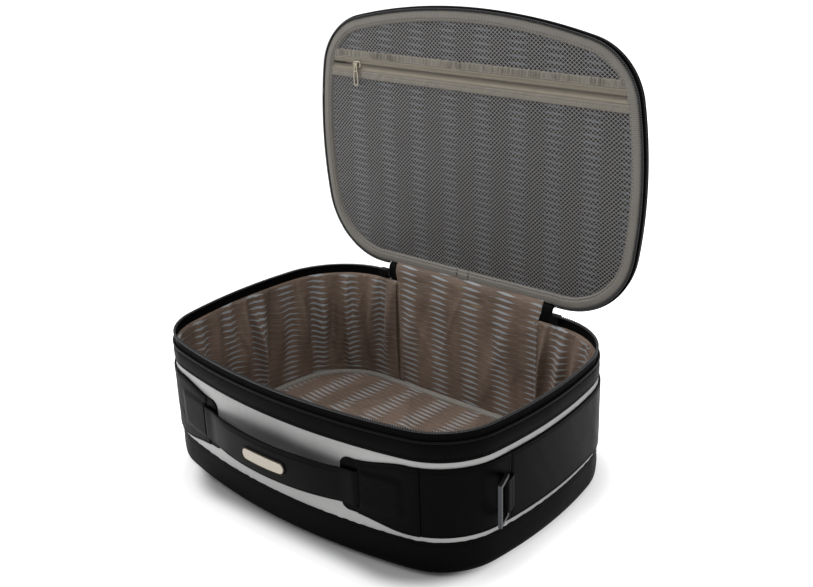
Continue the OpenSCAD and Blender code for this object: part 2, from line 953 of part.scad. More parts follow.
module pocket_slider() {
  color("#c8b592")
    union() {
      on_lid() {
        translate([-pocket_slider_x - pocket_slider_l / 2, zip_y - pocket_slider_w / 2,
            plate_gap_z - pocket_plate_t])
          cube([pocket_slider_l, pocket_slider_w, pocket_plate_t]);
        translate([-pocket_slider_x - pocket_slider_l / 2, zip_y - wedge_t / 2,
            plate_gap_z - pocket_plate_t])
          cube([pocket_slider_l, wedge_t, mesh_t + coil_proud + 2 * run_gap + pocket_plate_t]);
      }
      on_pocket_pin()
        lugs_and_pin(1);
    }
}

module pocket_pull() {
  color("#c8b592")
    on_pocket_pin()
      pull_tab(pocket_pull_l);
}

base_panel();
base_board();
lower_band();
silver_band();
upper_band();
wall_board();
rim_piping();
belt_tongue_left();
belt_tongue_right();
belt_corner_left();
belt_corner_right();
belt_side_left();
belt_side_right();
belt_back();
ring_tab_left();
ring_tab_right();
strap_anchor_left();
strap_anchor_right();
lining_walls();
lining_back();
lining_floor();
floor_binding();
rim_tape();
rim_teeth();
hinge_rim();
hinge_strip();
hinge_fold();
slider_left();
slider_right();
pull_left();
pull_right();
strap_ring_left();
strap_ring_right();
grip();
strap_end_left();
strap_end_right();
nameplate_rim();
nameplate();
lid_skin();
lid_pad();
lid_board();
lid_wall();
lid_piping();
lid_tape();
lid_teeth();
lid_hinge_strip();
lid_lining();
lid_binding();
mesh_upper();
mesh_lower();
trim_upper();
trim_lower();
pocket_tape_upper();
pocket_tape_lower();
pocket_coil();
pocket_slider();
pocket_pull();
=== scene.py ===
"""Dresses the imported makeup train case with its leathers, fabrics, zips and metal fittings."""
import json
import logging
import math
from dataclasses import dataclass
from enum import Enum
from typing import Callable, Optional, Sequence, Union

import bmesh
import bpy
import numpy as np
from mathutils import Matrix, Vector

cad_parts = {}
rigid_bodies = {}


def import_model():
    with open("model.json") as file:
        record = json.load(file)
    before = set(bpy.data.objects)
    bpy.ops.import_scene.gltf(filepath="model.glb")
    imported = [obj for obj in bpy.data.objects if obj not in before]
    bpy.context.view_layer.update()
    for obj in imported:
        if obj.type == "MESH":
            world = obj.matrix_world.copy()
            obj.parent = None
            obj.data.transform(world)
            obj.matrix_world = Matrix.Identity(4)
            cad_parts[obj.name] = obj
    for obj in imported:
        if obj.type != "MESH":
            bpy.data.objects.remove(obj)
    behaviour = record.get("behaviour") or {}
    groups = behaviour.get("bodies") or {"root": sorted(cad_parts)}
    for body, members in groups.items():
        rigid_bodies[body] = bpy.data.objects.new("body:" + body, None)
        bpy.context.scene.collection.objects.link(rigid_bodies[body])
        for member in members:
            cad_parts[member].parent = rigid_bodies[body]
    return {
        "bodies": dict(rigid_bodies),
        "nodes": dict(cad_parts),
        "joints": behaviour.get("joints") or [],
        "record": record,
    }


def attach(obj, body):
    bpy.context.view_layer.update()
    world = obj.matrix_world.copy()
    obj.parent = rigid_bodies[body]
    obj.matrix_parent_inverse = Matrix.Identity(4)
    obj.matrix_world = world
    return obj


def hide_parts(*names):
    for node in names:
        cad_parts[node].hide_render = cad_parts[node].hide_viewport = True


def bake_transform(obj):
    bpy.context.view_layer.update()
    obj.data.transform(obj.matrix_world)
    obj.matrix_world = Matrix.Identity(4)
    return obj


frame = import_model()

MM = 0.001
Array = np.ndarray
Colour = tuple[float, float, float]
Value = Union["Wire", float, Sequence[float]]
UP = np.array([0, 0, 1.0])
DOWN = np.array([0, 0, -1.0])
SIDES = ((1, "right"), (-1, "left"))
# y of the open lid's opening, and the height of its outline's middle
LID_Y, LID_Z = 126.0, 253.8
log = logging.getLogger("train_case")
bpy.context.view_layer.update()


# ---------------------------------------------------------------- shader writing

def operation(name: str, last: bool = False) -> Callable[..., "Wire"]:
    """A method that adds one Math node, with the wire as its first value, or as its last."""

    def method(wire: "Wire", *others: Value) -> "Wire":
        """The Math node's output."""
        values = (*others, wire) if last else (wire, *others)
        return wire.shader.node("Math", {"operation": name}, dict(enumerate(values)))

    return method


class Wire:
    """An output socket; arithmetic on it adds Math nodes to its shader."""

    __add__ = __radd__ = operation("ADD")
    __sub__ = operation("SUBTRACT")
    __rsub__ = operation("SUBTRACT", last=True)
    __mul__ = __rmul__ = operation("MULTIPLY")
    __truediv__ = operation("DIVIDE")
    __rtruediv__ = operation("DIVIDE", last=True)
    __pow__ = operation("POWER")
    __gt__ = operation("GREATER_THAN")
    __abs__ = operation("ABSOLUTE")
    sin = operation("SINE")
    fract = operation("FRACT")
    floor = operation("FLOOR")

    def __init__(self, shader: "Graph", socket: bpy.types.NodeSocket) -> None:
        """Keeps the socket and the shader that it belongs to."""
        self.shader = shader
        self.socket = socket

    def ramp(self, low: float, high: float) -> "Wire":
        """Smooth step from 0 at low to 1 at high."""
        return self.shader.node("MapRange", {"interpolation_type": "SMOOTHSTEP"},
                                {"Value": self, "From Min": low, "From Max": high})


class Graph:
    """A node tree under construction."""

    def __init__(self, tree: bpy.types.NodeTree) -> None:
        """Empties the tree."""
        self.tree = tree
        self.tree.nodes.clear()

    def feed(self, socket: bpy.types.NodeSocket, value: Value) -> None:
        """Links or sets one input socket."""
        if isinstance(value, Wire):
            self.tree.links.new(value.socket, socket)
        elif isinstance(value, tuple) and len(value) == 3 and socket.type == "RGBA":
            socket.default_value = (*value, 1.0)
        else:
            socket.default_value = value

    def add(self, kind: str, settings: Optional[dict] = None,
            inputs: Optional[dict] = None) -> bpy.types.Node:
        """Adds a node.

        Args:
            kind: the node's type without its ShaderNode prefix.
            settings: properties that are set first.
            inputs: values or wires by socket name or number.

        Returns:
            The node.
        """
        made = self.tree.nodes.new("ShaderNode" + kind)
        for key, setting in (settings or {}).items():
            setattr(made, key, setting)
        for key, value in (inputs or {}).items():
            self.feed(made.inputs[key], value)
        return made

    def node(self, kind: str, settings: Optional[dict] = None, inputs: Optional[dict] = None,
             out: Union[int, str] = 0) -> Wire:
        """Adds a node and returns one of its outputs."""
        return Wire(self, self.add(kind, settings, inputs).outputs[out])

    def place(self) -> Wire:
        """Object coordinates, in metres."""
        return self.node("TexCoord", out="Object")

    def cloth_uv(self) -> Wire:
        """The piece's own UV map, which lies in metres along the surface."""
        return self.node("UVMap", {"uv_map": "cloth"})

    def parts(self, vector: Wire) -> tuple[Wire, ...]:
        """X, Y and Z of a vector."""
        split = self.add("SeparateXYZ", None, {0: vector})
        return tuple(Wire(self, split.outputs[k]) for k in range(3))

    def seen(self) -> Wire:
        """1 on rays from the camera, from a gloss or through glass."""
        rays = self.add("LightPath")
        return sum(Wire(self, rays.outputs[f"Is {kind} Ray"])
                   for kind in ("Camera", "Glossy", "Transmission"))

    def noise(self, vector: Wire, scale: Union[float, Colour], detail: float = 2.0,
              rough: float = 0.5) -> Wire:
        """Soft noise between 0 and 1, at one scale or at one for each axis."""
        if isinstance(scale, tuple):
            vector = self.node("VectorMath", {"operation": "MULTIPLY"}, {0: vector, 1: scale})
            scale = 1.0
        return self.node("TexNoise", None, {"Vector": vector, "Scale": scale,
                                            "Detail": detail, "Roughness": rough})

    def waves(self, along: Wire, pitch: float) -> Wire:
        """Sine wave between 0 and 1, with that pitch in metres."""
        return (along * (2 * math.pi / pitch)).sin() * 0.5 + 0.5

    def blend(self, share: Value, first: Value, second: Value) -> Wire:
        """Colour between first and second."""
        return self.node("Mix", {"data_type": "RGBA"}, {0: share, 6: first, 7: second}, 2)

    def tones(self, share: Value, colour: Colour, dark: float, light: float) -> Wire:
        """Colour between its dark and its light multiple."""
        return self.blend(share, tuple(c * dark for c in colour),
                          tuple(min(c * light, 1.0) for c in colour))

    def bump(self, height: Wire, depth: float, strength: float) -> Wire:
        """Bump from a height between 0 and 1 that stands for depth mm."""
        return self.node("Bump", None, {"Strength": strength, "Distance": depth * MM,
                                        "Height": height})


class Shader(Graph):
    """A material under construction, with one Principled surface."""

    def __init__(self, name: str) -> None:
        """Starts a material of that name."""
        self.material = bpy.data.materials.new(name)
        self.material.use_nodes = True
        super().__init__(self.material.node_tree)
        self.surface = self.add("BsdfPrincipled")
        self.output = self.add("OutputMaterial", None, {
            "Surface": Wire(self, self.surface.outputs[0])})

    def dress(self, **inputs: Value) -> bpy.types.Material:
        """Sets the surface's sockets, with _ for a space in each name, and returns the material."""
        for key, value in inputs.items():
            self.feed(self.surface.inputs[key.replace("_", " ")], value)
        return self.material


# ---------------------------------------------------------------- finishes

@dataclass(frozen=True)
class Coat:
    """What each finish has: its material's name and its colour."""

    name: str
    colour: Colour


@dataclass(frozen=True)
class Leather(Coat):
    """Grained leatherette: soft cells with creases between, and a faint uneven gloss."""

    gloss: float = 0.42
    grain: float = 1.1
    depth: float = 0.12
    shine: float = 0.10

    def make(self) -> bpy.types.Material:
        """Builds the material."""
        sh = Shader(self.name)
        place = sh.place()
        crease = sh.node("TexVoronoi", {"feature": "DISTANCE_TO_EDGE"}, {
            "Vector": place, "Scale": 1 / (self.grain * MM)}, "Distance").ramp(0.0, 0.32)
        pores = sh.noise(place, 2600, 3.0, 0.6)
        broad = sh.noise(place, 14, 3.0, 0.55)
        rub = sh.noise(place, 55, 4.0, 0.6).ramp(0.52, 0.78)
        return sh.dress(
            Base_Color=sh.tones(broad.ramp(0.3, 0.7) * 0.45 + rub * 0.18, self.colour, 0.8, 1.8),
            Roughness=self.gloss + broad * 0.14 - crease * 0.05 + rub * 0.05,
            Specular_IOR_Level=self.shine,
            Normal=sh.bump(crease * 0.75 + pores * 0.25, self.depth, 0.55))


@dataclass(frozen=True)
class Satin(Coat):
    """Silver satin: fine warp lines, a broad soft lustre and slight slubs, and painted shade: the
    handle strap's shadow, painted as darker colour round a point, out to a size, both in metres
    along the cloth."""

    # point and size of the painted shade of the strap's shadow, in metres along the cloth
    painted_shade_at: tuple[float, float] = (0.012, 0.050)
    painted_shade_size: tuple[float, float] = (0.060, 0.013)

    def make(self) -> bpy.types.Material:
        """Builds the material. The painted shade falls off as 1 / (1 + across^4 + along^2)."""
        sh = Shader(self.name)
        uv = sh.cloth_uv()
        u, v, _ = sh.parts(uv)
        warp, weft = sh.waves(u, 0.42 * MM), sh.waves(v, 0.6 * MM)
        slub = sh.noise(uv, (30, 420, 1), 3.0, 0.55)
        lustre = sh.noise(uv, (16, 26, 1))
        across, along = ((c - at) / size
                         for c, at, size in zip((u, v), self.painted_shade_at, self.painted_shade_size))
        # painted shade: the handle strap's shadow on the satin, painted just above the strap
        painted_shade = 1.0 / (1.0 + across * across * across * across + along * along)
        unshaded = sh.tones(slub * 0.35 + lustre * 0.5 + warp * 0.1, self.colour, 0.74, 1.16)
        return sh.dress(
            # the colour darkens towards a dark copy of itself where the painted shade lies
            Base_Color=sh.blend(painted_shade * (0.66 + lustre * 0.5), unshaded,
                                tuple(c * 0.17 for c in self.colour)),
            Roughness=0.34 + lustre * 0.16 + slub * 0.05, Metallic=0.35, Sheen_Weight=0.3,
            Sheen_Roughness=0.4, Normal=sh.bump(warp * 0.6 + weft * 0.2 + slub * 0.4, 0.06, 0.5))


@dataclass(frozen=True)
class Lining(Coat):
    """Satin lining woven with columns of tapered, sloping dashes that trail into fine lines."""

    dash: Colour
    column: float = 37.0
    row: float = 5.9
    length: float = 25.0
    thick: float = 2.9

    def make(self) -> bpy.types.Material:
        """Builds the material. Along a dash, x runs from -1 to 1; its half thickness is
        thick / 2 * (1 - x * x) and its middle line slopes and waves as the sine of x. Past its
        ends the line goes on at a ninth of the thickness."""
        sh = Shader(self.name)
        uv = sh.cloth_uv()
        u, v, _ = sh.parts(uv)
        sway = sh.noise(uv, (14, 14, 1), 1.0, 0.4) - 0.5
        across = u / (self.column * MM) + sway * 0.08
        x = (across.fract() - 0.5) * (2 * self.column / self.length)
        wave = (x * 2.6).sin() * 0.05 + x * 0.05 + (across.floor() * 0.37).fract()
        y = ((v / (self.row * MM) + wave + sway * 0.5).fract() - 0.5) * (2 * self.row / self.thick)
        edge = 1.0 - x * x
        dash = (edge - abs(y)).ramp(0.0, 0.5) * (edge > 0.0)
        trail = (0.26 - abs(y)).ramp(0.0, 0.22) * 0.30
        mask = dash + trail - dash * trail
        thread = sh.waves(v, 0.45 * MM)
        streak = sh.noise(uv, (55, 1300, 1), 2.0, 0.6)
        warp = sh.noise(uv, (2400, 160, 1), 1.0)
        broad = sh.noise(uv, (26, 12, 1), 3.0, 0.6)
        shade = broad.ramp(0.3, 0.7) * 0.40 + streak.ramp(0.3, 0.72) * 0.5 + warp * 0.10
        ground = sh.tones(shade, self.colour, 0.55, 1.45)
        silver = sh.tones(streak * 0.6 + warp * 0.4, self.dash, 0.72, 1.25)
        height = mask * 0.4 + thread * 0.1 + streak * 0.5 + warp * 0.1
        return sh.dress(
            Base_Color=sh.blend(mask * 0.94, ground, silver),
            Roughness=0.50 - mask * 0.08 + broad * 0.08, Metallic=mask * 0.05,
            Specular_IOR_Level=0.25, Sheen_Weight=0.04, Sheen_Roughness=0.45,
            Normal=sh.bump(height, 0.25, 0.7))


class Rib(Enum):
    """Direction of a ribbed tape's ribs."""

    ACROSS = "across"
    ALONG = "along"


@dataclass(frozen=True)
class Ribbed(Coat):
    """Woven ribbed tape with a matt, slightly fuzzy face."""

    pitch: float = 0.9
    rib: Rib = Rib.ACROSS
    rough: float = 0.8
    fuzz: float = 0.5
    shine: float = 0.2
    contrast: float = 0.42
    yarn: float = 0.7

    def make(self) -> bpy.types.Material:
        """Builds the material."""
        sh = Shader(self.name)
        uv = sh.cloth_uv()
        u, v, _ = sh.parts(uv)
        run, side = (u, v) if self.rib is Rib.ACROSS else (v, u)
        ribs, yarn = sh.waves(run, self.pitch * MM), sh.waves(side, self.yarn * MM)
        broad = sh.noise(uv, (45, 45, 1), 3.0, 0.6)
        fluff = sh.noise(uv, (1900, 1900, 1), 3.0, 0.7)
        shade = ribs * self.contrast + yarn * 0.12 + broad * 0.3 + fluff * (0.64 - self.contrast)
        return sh.dress(
            Base_Color=sh.tones(shade, self.colour, 0.5, 1.4),
            Roughness=self.rough - fluff * 0.1, Sheen_Weight=self.fuzz * 0.5,
            Sheen_Roughness=0.5, Specular_IOR_Level=self.shine,
            Normal=sh.bump(ribs * 0.6 + yarn * 0.15 + fluff * 0.3, 0.25, 0.7))


@dataclass(frozen=True)
class Netting(Coat):
    """Diamond net: two families of strands with knots where they cross, open between. slope is
    the strands' rise across the net, and strand their width as a share of the pitch."""

    pitch: float = 3.5
    strand: float = 0.21
    slope: float = 0.825

    def make(self) -> bpy.types.Material:
        """Builds the material. A point is covered where its distance from the nearest line of
        either family, as a share of the pitch, is less than half the strand's share."""
        sh = Shader(self.name)
        uv = sh.cloth_uv()
        u, v, _ = sh.parts(uv)
        drift = (sh.noise(uv, (30, 30, 1), 1.0) - 0.5) * 0.5
        pitch = self.pitch * MM
        first = abs(((u * self.slope + v) / pitch + drift).fract() - 0.5)
        second = abs(((u * self.slope - v) / pitch - drift).fract() - 0.5)
        one, two = ((0.5 * self.strand - gap).ramp(-0.03, 0.03) for gap in (first, second))
        knot = one * two
        cover = one + two - knot
        fleck = sh.noise(uv, (900, 900, 1))
        broad = sh.noise(uv, (25, 25, 1), 3.0)
        material = sh.dress(
            Base_Color=sh.tones(fleck * 0.5 + knot * 0.25 + broad * 0.35, self.colour, 0.7, 1.3),
            Roughness=0.62 - knot * 0.08, Alpha=cover, Sheen_Weight=0.3,
            Normal=sh.bump(cover + knot * 0.4, 0.2, 0.6))
        material.use_transparent_shadow = True
        return material


@dataclass(frozen=True)
class Metal(Coat):
    """Plated metal with fine brushing, cloudy gloss and tiny wear specks."""

    rough: float = 0.3
    metallic: float = 1.0

    def make(self) -> bpy.types.Material:
        """Builds the material."""
        sh = Shader(self.name)
        place = sh.place()
        brush = sh.noise(place, (300, 300, 4200), 2.0, 0.6)
        cloud = sh.noise(place, 160, 3.0, 0.55)
        speck = sh.noise(place, 1500).ramp(0.64, 0.78)
        return sh.dress(
            Base_Color=sh.tones(cloud * 0.6 + speck * 0.3, self.colour, 0.82, 1.15),
            Metallic=self.metallic, Roughness=self.rough + cloud * 0.12 + brush * 0.08,
            Normal=sh.bump(brush * 0.5 + speck * 0.5, 0.03, 0.4))


@dataclass(frozen=True)
class Thread(Coat):
    """Twisted sewing thread."""

    shine: float = 0.4
    fuzz: float = 0.2

    def make(self) -> bpy.types.Material:
        """Builds the material."""
        sh = Shader(self.name)
        twist = sh.noise(sh.place(), (3800, 3800, 2400))
        return sh.dress(
            Base_Color=sh.tones(twist, self.colour, 0.6, 1.35), Roughness=0.5 + twist * 0.2,
            Sheen_Weight=self.fuzz, Specular_IOR_Level=self.shine,
            Normal=sh.bump(twist, 0.05, 0.6))


@dataclass(frozen=True)
class Core(Coat):
    """Pressed fibre board, hidden inside the walls."""

    def make(self) -> bpy.types.Material:
        """Builds the material."""
        sh = Shader(self.name)
        place = sh.place()
        fibre = sh.noise(place, 420, 5.0, 0.65)
        broad = sh.noise(place, 30, 3.0)
        return sh.dress(
            Base_Color=sh.tones(fibre * 0.7 + broad * 0.3, self.colour, 0.75, 1.2),
            Roughness=0.85 + fibre * 0.1, Normal=sh.bump(fibre, 0.2, 0.5))


class Finish:
    """The case's finishes, each made once and then shared."""

    recipes = {
        "leather": Leather("black_leatherette", (0.0013, 0.0013, 0.0014), 0.44, shine=0.026),
        "belt": Leather("belt_leather", (0.0011, 0.0011, 0.0012), 0.34, 0.9, 0.10, 0.024),
        "grip": Leather("grip_leather", (0.0018, 0.0018, 0.0020), 0.38, 0.9, 0.08, 0.036),
        "satin": Satin("silver_satin", (0.40, 0.40, 0.395)),
        "lining": Lining("lining_satin", (0.166, 0.117, 0.088), (0.355, 0.382, 0.404)),
        # a darker copy of the lining, for the lid behind the net: painted shade standing for the
        # net's shadow on it
        "lining_in_painted_shade": Lining("lining_satin_painted_shade", (0.024, 0.020, 0.017), (0.140, 0.153, 0.172)),
        "binding": Ribbed("taupe_binding", (0.225, 0.211, 0.188), 1.5),
        "trim": Ribbed("pocket_trim", (0.250, 0.232, 0.196), 0.8, Rib.ACROSS, 0.72),
        "pocket_tape": Ribbed("pocket_zip_tape", (0.29, 0.26, 0.205), 0.6, Rib.ALONG, 0.62, 0.3),
        "zip_tape": Ribbed("black_zip_tape", (0.0022, 0.0022, 0.0024), 0.7, Rib.ALONG, 0.7, 0.0,
                           0.025),
        "hinge": Ribbed("black_hinge_cloth", (0.0028, 0.0028, 0.003), 0.8, Rib.ACROSS, 0.75, 0.0,
                        0.05),
        "piping": Leather("black_piping", (0.0020, 0.0020, 0.0022), 0.30, 0.7, 0.05, 0.05),
        "net": Netting("pocket_net", (0.250, 0.250, 0.250)),
        "coil": Metal("taupe_coil", (0.20, 0.18, 0.14), 0.45, 0.0),
        "teeth": Metal("black_coil", (0.016, 0.016, 0.018), 0.26, 0.0),
        "gunmetal": Metal("gunmetal", (0.046, 0.0475, 0.051), 0.28),
        "black_metal": Metal("black_metal", (0.02, 0.02, 0.022)),
        "champagne": Metal("pale_gold", (0.33, 0.295, 0.235), 0.32),
        "plate": Metal("cream_gold_plate", (0.40, 0.36, 0.305), 0.36, 0.7),
        "plate_rim": Metal("dark_plate_rim", (0.03, 0.025, 0.02), 0.35),
        "thread": Thread("black_thread", (0.0012, 0.0012, 0.0013), 0.03, 0.0),
        "taupe_thread": Thread("taupe_thread", (0.40, 0.37, 0.32)),
        "board": Core("fibre_board", (0.25, 0.19, 0.12)),
    }
    made: dict[str, bpy.types.Material] = {}

    @classmethod
    def get(cls, name: str) -> bpy.types.Material:
        """The material of that name, made when it is first asked for."""
        if name not in cls.made:
            cls.made[name] = cls.recipes[name].make()
        return cls.made[name]


# ---------------------------------------------------------------- surfaces

def smooth(value: Array, low: float, high: float) -> Array:
    """Smooth step: 0 up to low, 1 from high, 3t^2 - 2t^3 between."""
    t = np.clip((np.asarray(value, float) - low) / (high - low), 0, 1)
    return t * t * (3 - 2 * t)


def roll(distance: Array, radius: float) -> Array:
    """Rise of a rounded edge: a quarter circle of that radius, as a share of it."""
    t = np.clip(np.asarray(distance, float) / radius, 0, 1)
    return np.sqrt(1 - (1 - t) ** 2)


def bell(distance: Array, width: float) -> Array:
    """Bell curve exp(-(distance / width)^2)."""
    return np.exp(-(np.asarray(distance, float) / width) ** 2)


def power(wave: Array, share: float) -> Array:
    """A wave's size raised to a power, with its sign kept: under 1 it squares a circle."""
    return np.sign(wave) * np.abs(wave) ** share


def unit(vectors: Array) -> Array:
    """Vectors of length 1."""
    return vectors / np.linalg.norm(vectors, axis=-1, keepdims=True)


def heading(path: Array) -> Array:
    """Direction of a path at each of its points."""
    return unit(np.gradient(path, axis=0))


def travel(path: Array) -> Array:
    """Distance run along a path, at each of its points."""
    return np.concatenate([[0], np.cumsum(np.linalg.norm(np.diff(path, axis=0), axis=-1))])


def sample(at: Array, run: Array, values: Array) -> Array:
    """Columns of values that are given at run, read at other places."""
    return np.stack([np.interp(at, run, column) for column in values.T], -1)


def lattice(first: Array, second: Array) -> Array:
    """Grid of the pairs of two axes."""
    return np.stack(np.meshgrid(first, second, indexing="ij"), -1)


def stacked(xy: Array, z: Array) -> Array:
    """Points from plan points and heights, which may be one height for all."""
    return np.concatenate([xy, np.broadcast_to(z, xy.shape[:-1])[..., None]], -1)


def closed(half: Array) -> Array:
    """Heights round a flat section: over its face, back under it and to the start."""
    return np.concatenate([half, -half[::-1], half[:1]])


def grid_axis(length: float, step: float, edge: float) -> Array:
    """Distances from 0 to length about step apart, crowded within edge of both ends."""
    near = edge * np.array([0, 0.06, 0.18, 0.36, 0.58, 0.8])
    inner = np.linspace(edge, length - edge, max(2, int(round((length - 2 * edge) / step)) + 1))
    return np.concatenate([near, inner, length - near[::-1]])


class Wobble:
    """Repeatable uneven wave with a given period: a sum of sines with seeded sizes and phases."""

    def __init__(self, seed: int, period: float, low: int, high: int) -> None:
        """Draws the sizes and phases of the waves with low to high crests in a period."""
        dice = np.random.default_rng(seed)
        self.period = period
        self.crests = np.arange(low, high + 1)
        self.sizes = dice.uniform(0.4, 1.0, len(self.crests)) / math.sqrt(len(self.crests))
        self.phases = dice.uniform(0, 2 * math.pi, len(self.crests))

    def __call__(self, s: Array) -> Array:
        """Height of the wave at s, about -1 to 1."""
        turn = np.asarray(s, float)[..., None] * self.crests * (2 * math.pi / self.period)
        return (np.sin(turn + self.phases) * self.sizes).sum(-1)


class Folds:
    """Repeatable set of slanted fabric folds: each is a ridge or a hollow with a bell section."""

    def __init__(self, seed: int, span: tuple[float, float], count: int,
                 size: tuple[float, float], width: tuple[float, float], slant: float,
                 rise: tuple[float, float], reach: tuple[float, float] = (0.35, 0.9)) -> None:
        """Draws the folds' places in the span, sizes, widths, slants, the heights that they
        centre on, and their reaches as shares of the rise."""
        dice = np.random.default_rng(seed)
        spacing = (span[1] - span[0]) / count
        self.at = span[0] + (np.arange(count) + dice.uniform(0.15, 0.85, count)) * spacing
        self.size = dice.uniform(*size, count)
        self.width = dice.uniform(*width, count)
        self.slant = dice.uniform(-slant, slant, count)
        self.middle = dice.uniform(*rise, count)
        self.reach = dice.uniform(*reach, count) * (rise[1] - rise[0])

    def __call__(self, s: Array, z: Array) -> Array:
        """Height of the folds at s along and z up."""
        s, z = np.asarray(s, float)[..., None], np.asarray(z, float)[..., None]
        across = (s - self.at - self.slant * (z - self.middle)) / self.width
        along = (z - self.middle) / self.reach
        return (self.size * np.exp(-across ** 2 - along ** 2)).sum(-1)


class Place(Enum):
    """Where a shape drawn in plan and height goes."""

    CASE = "case"
    LID = "lid"

    def put(self, points: Array) -> Array:
        """Moves plan points into the row frame. The open lid stands behind the case: a point at
        (x, y) in plan and height h above the lid's opening goes to (x, LID_Y + h, LID_Z - y)."""
        if self is Place.CASE:
            return points
        x, y, h = points[..., 0], points[..., 1], points[..., 2]
        return np.stack([x, LID_Y + h, LID_Z - y], -1)


@dataclass
class Plan:
    """Plan outline of the case: a shallow arc at the front and sides, rounder corners, and a
    straight back. s is the distance along it in mm, 0 at the front middle, positive to the
    right, and plus or minus half at the back middle. Both zip ends stand at zip_end from the
    back middle."""

    width: float = 356.0
    depth: float = 252.0
    front_r: float = 560.0
    side_r: float = 400.0
    front_corner_r: float = 60.0
    back_corner_r: float = 70.0
    side_mid_y: float = 5.0
    zip_end: float = 97.5

    def __post_init__(self) -> None:
        """Tabulates the right half: each arc's points are its centre plus r (cos a, sin a)."""
        front = np.array([0.0, self.front_r - self.depth / 2])
        side = np.array([self.width / 2 - self.side_r, self.side_mid_y])
        back_y = self.depth / 2 - self.back_corner_r
        back = np.array([side[0] + math.sqrt((self.side_r - self.back_corner_r) ** 2
                                             - (back_y - self.side_mid_y) ** 2), back_y])
        corner = self._meet(front, self.front_r - self.front_corner_r,
                            side, self.side_r - self.front_corner_r)
        turns = [math.atan2(*(q - p)[::-1]) for p, q in
                 ((front, corner), (side, corner), (side, back))]
        xy, normal = [], []
        for centre, r, a0, a1 in ((front, self.front_r, -math.pi / 2, turns[0]),
                                  (corner, self.front_corner_r, turns[0], turns[1]),
                                  (side, self.side_r, turns[1], turns[2]),
                                  (back, self.back_corner_r, turns[2], math.pi / 2)):
            a = np.linspace(a0, a1, max(40, int(abs(a1 - a0) * r / 0.5)))
            ray = np.stack([np.cos(a), np.sin(a)], -1)
            xy.append(centre + r * ray)
            normal.append(ray)
        line = np.linspace(back[0], 0, 240)[1:]
        xy.append(np.stack([line, np.full_like(line, self.depth / 2)], -1))
        normal.append(np.tile([0.0, 1.0], (len(line), 1)))
        self.xy = np.concatenate(xy)
        self.out = np.concatenate(normal)
        self.run = travel(self.xy)
        self.half = float(self.run[-1])
        self.length = 2 * self.half

    @staticmethod
    def _meet(p: Array, rp: float, q: Array, rq: float) -> Array:
        """Lower crossing of two circles."""
        d = float(np.hypot(*(q - p)))
        a = (rp * rp - rq * rq + d * d) / (2 * d)
        h = math.sqrt(rp * rp - a * a)
        u = (q - p) / d
        ends = [p + a * u + k * h * np.array([-u[1], u[0]]) for k in (1, -1)]
        return min(ends, key=lambda e: e[1])

    def look(self, s: Array) -> tuple[Array, Array]:
        """Points and outward normals of the outline at s."""
        s = (np.asarray(s, float) + self.half) % self.length - self.half
        side = np.stack([np.where(s < 0, -1.0, 1.0), np.ones(np.shape(s))], -1)
        xy, out = (sample(np.abs(s), self.run, table) for table in (self.xy, self.out))
        return side * xy, side * unit(out)

    def facing(self, s: Array) -> Array:
        """Outward directions at s, in space."""
        return stacked(self.look(s)[1], 0.0)

    def at(self, s: Array, inset: Array, z: Array) -> Array:
        """Points at s, moved inward by inset, at height z."""
        s, inset, z = np.broadcast_arrays(*(np.asarray(v, float) for v in (s, inset, z)))
        xy, out = self.look(s)
        return stacked(xy - out * inset[..., None], z)

    def s_front(self, x: float) -> float:
        """s of the front wall at x."""
        low = self.xy[:, 1] < 0
        return math.copysign(float(np.interp(abs(x), self.xy[low, 0], self.run[low])), x)

    def s_side(self, y: float) -> float:
        """s of the right side wall at y."""
        keep = self.xy[:, 1] < self.depth / 2 - 1e-6
        return float(np.interp(y, self.xy[keep, 1], self.run[keep]))

    def s_back(self, x: float) -> float:
        """s of the back wall at x."""
        return math.copysign(self.half - abs(x), x)

    def across(self, y: Array, inset: float) -> Array:
        """Half width of the outline, moved inward by inset, at y."""
        edge = self.xy - self.out * inset
        return np.interp(y, edge[:, 1], edge[:, 0], left=0.0)

    def ring(self, step: float) -> Array:
        """s all the way round, both ends at the back middle."""
        return np.linspace(-self.half, self.half, int(self.length / step) + 1)

    def zip_run(self, count: int) -> Array:
        """s from one end of the zip to the other, round the front."""
        end = self.s_back(self.zip_end)
        return np.linspace(-end, end, count)

    def disc(self, s: Array, inset: float, shares: Array) -> tuple[Array, Array]:
        """The outline moved inward, and a plan grid that fills it at shares of the way out."""
        rim = self.at(s, inset, 0)[..., :2]
        return rim, rim[:, None] * shares[None, :, None]


def link(name: str, data: bpy.types.ID) -> bpy.types.Object:
    """Makes an object of that mesh, lamp or camera in the scene."""
    made = bpy.data.objects.new(name, data)
    bpy.context.scene.collection.objects.link(made)
    return made


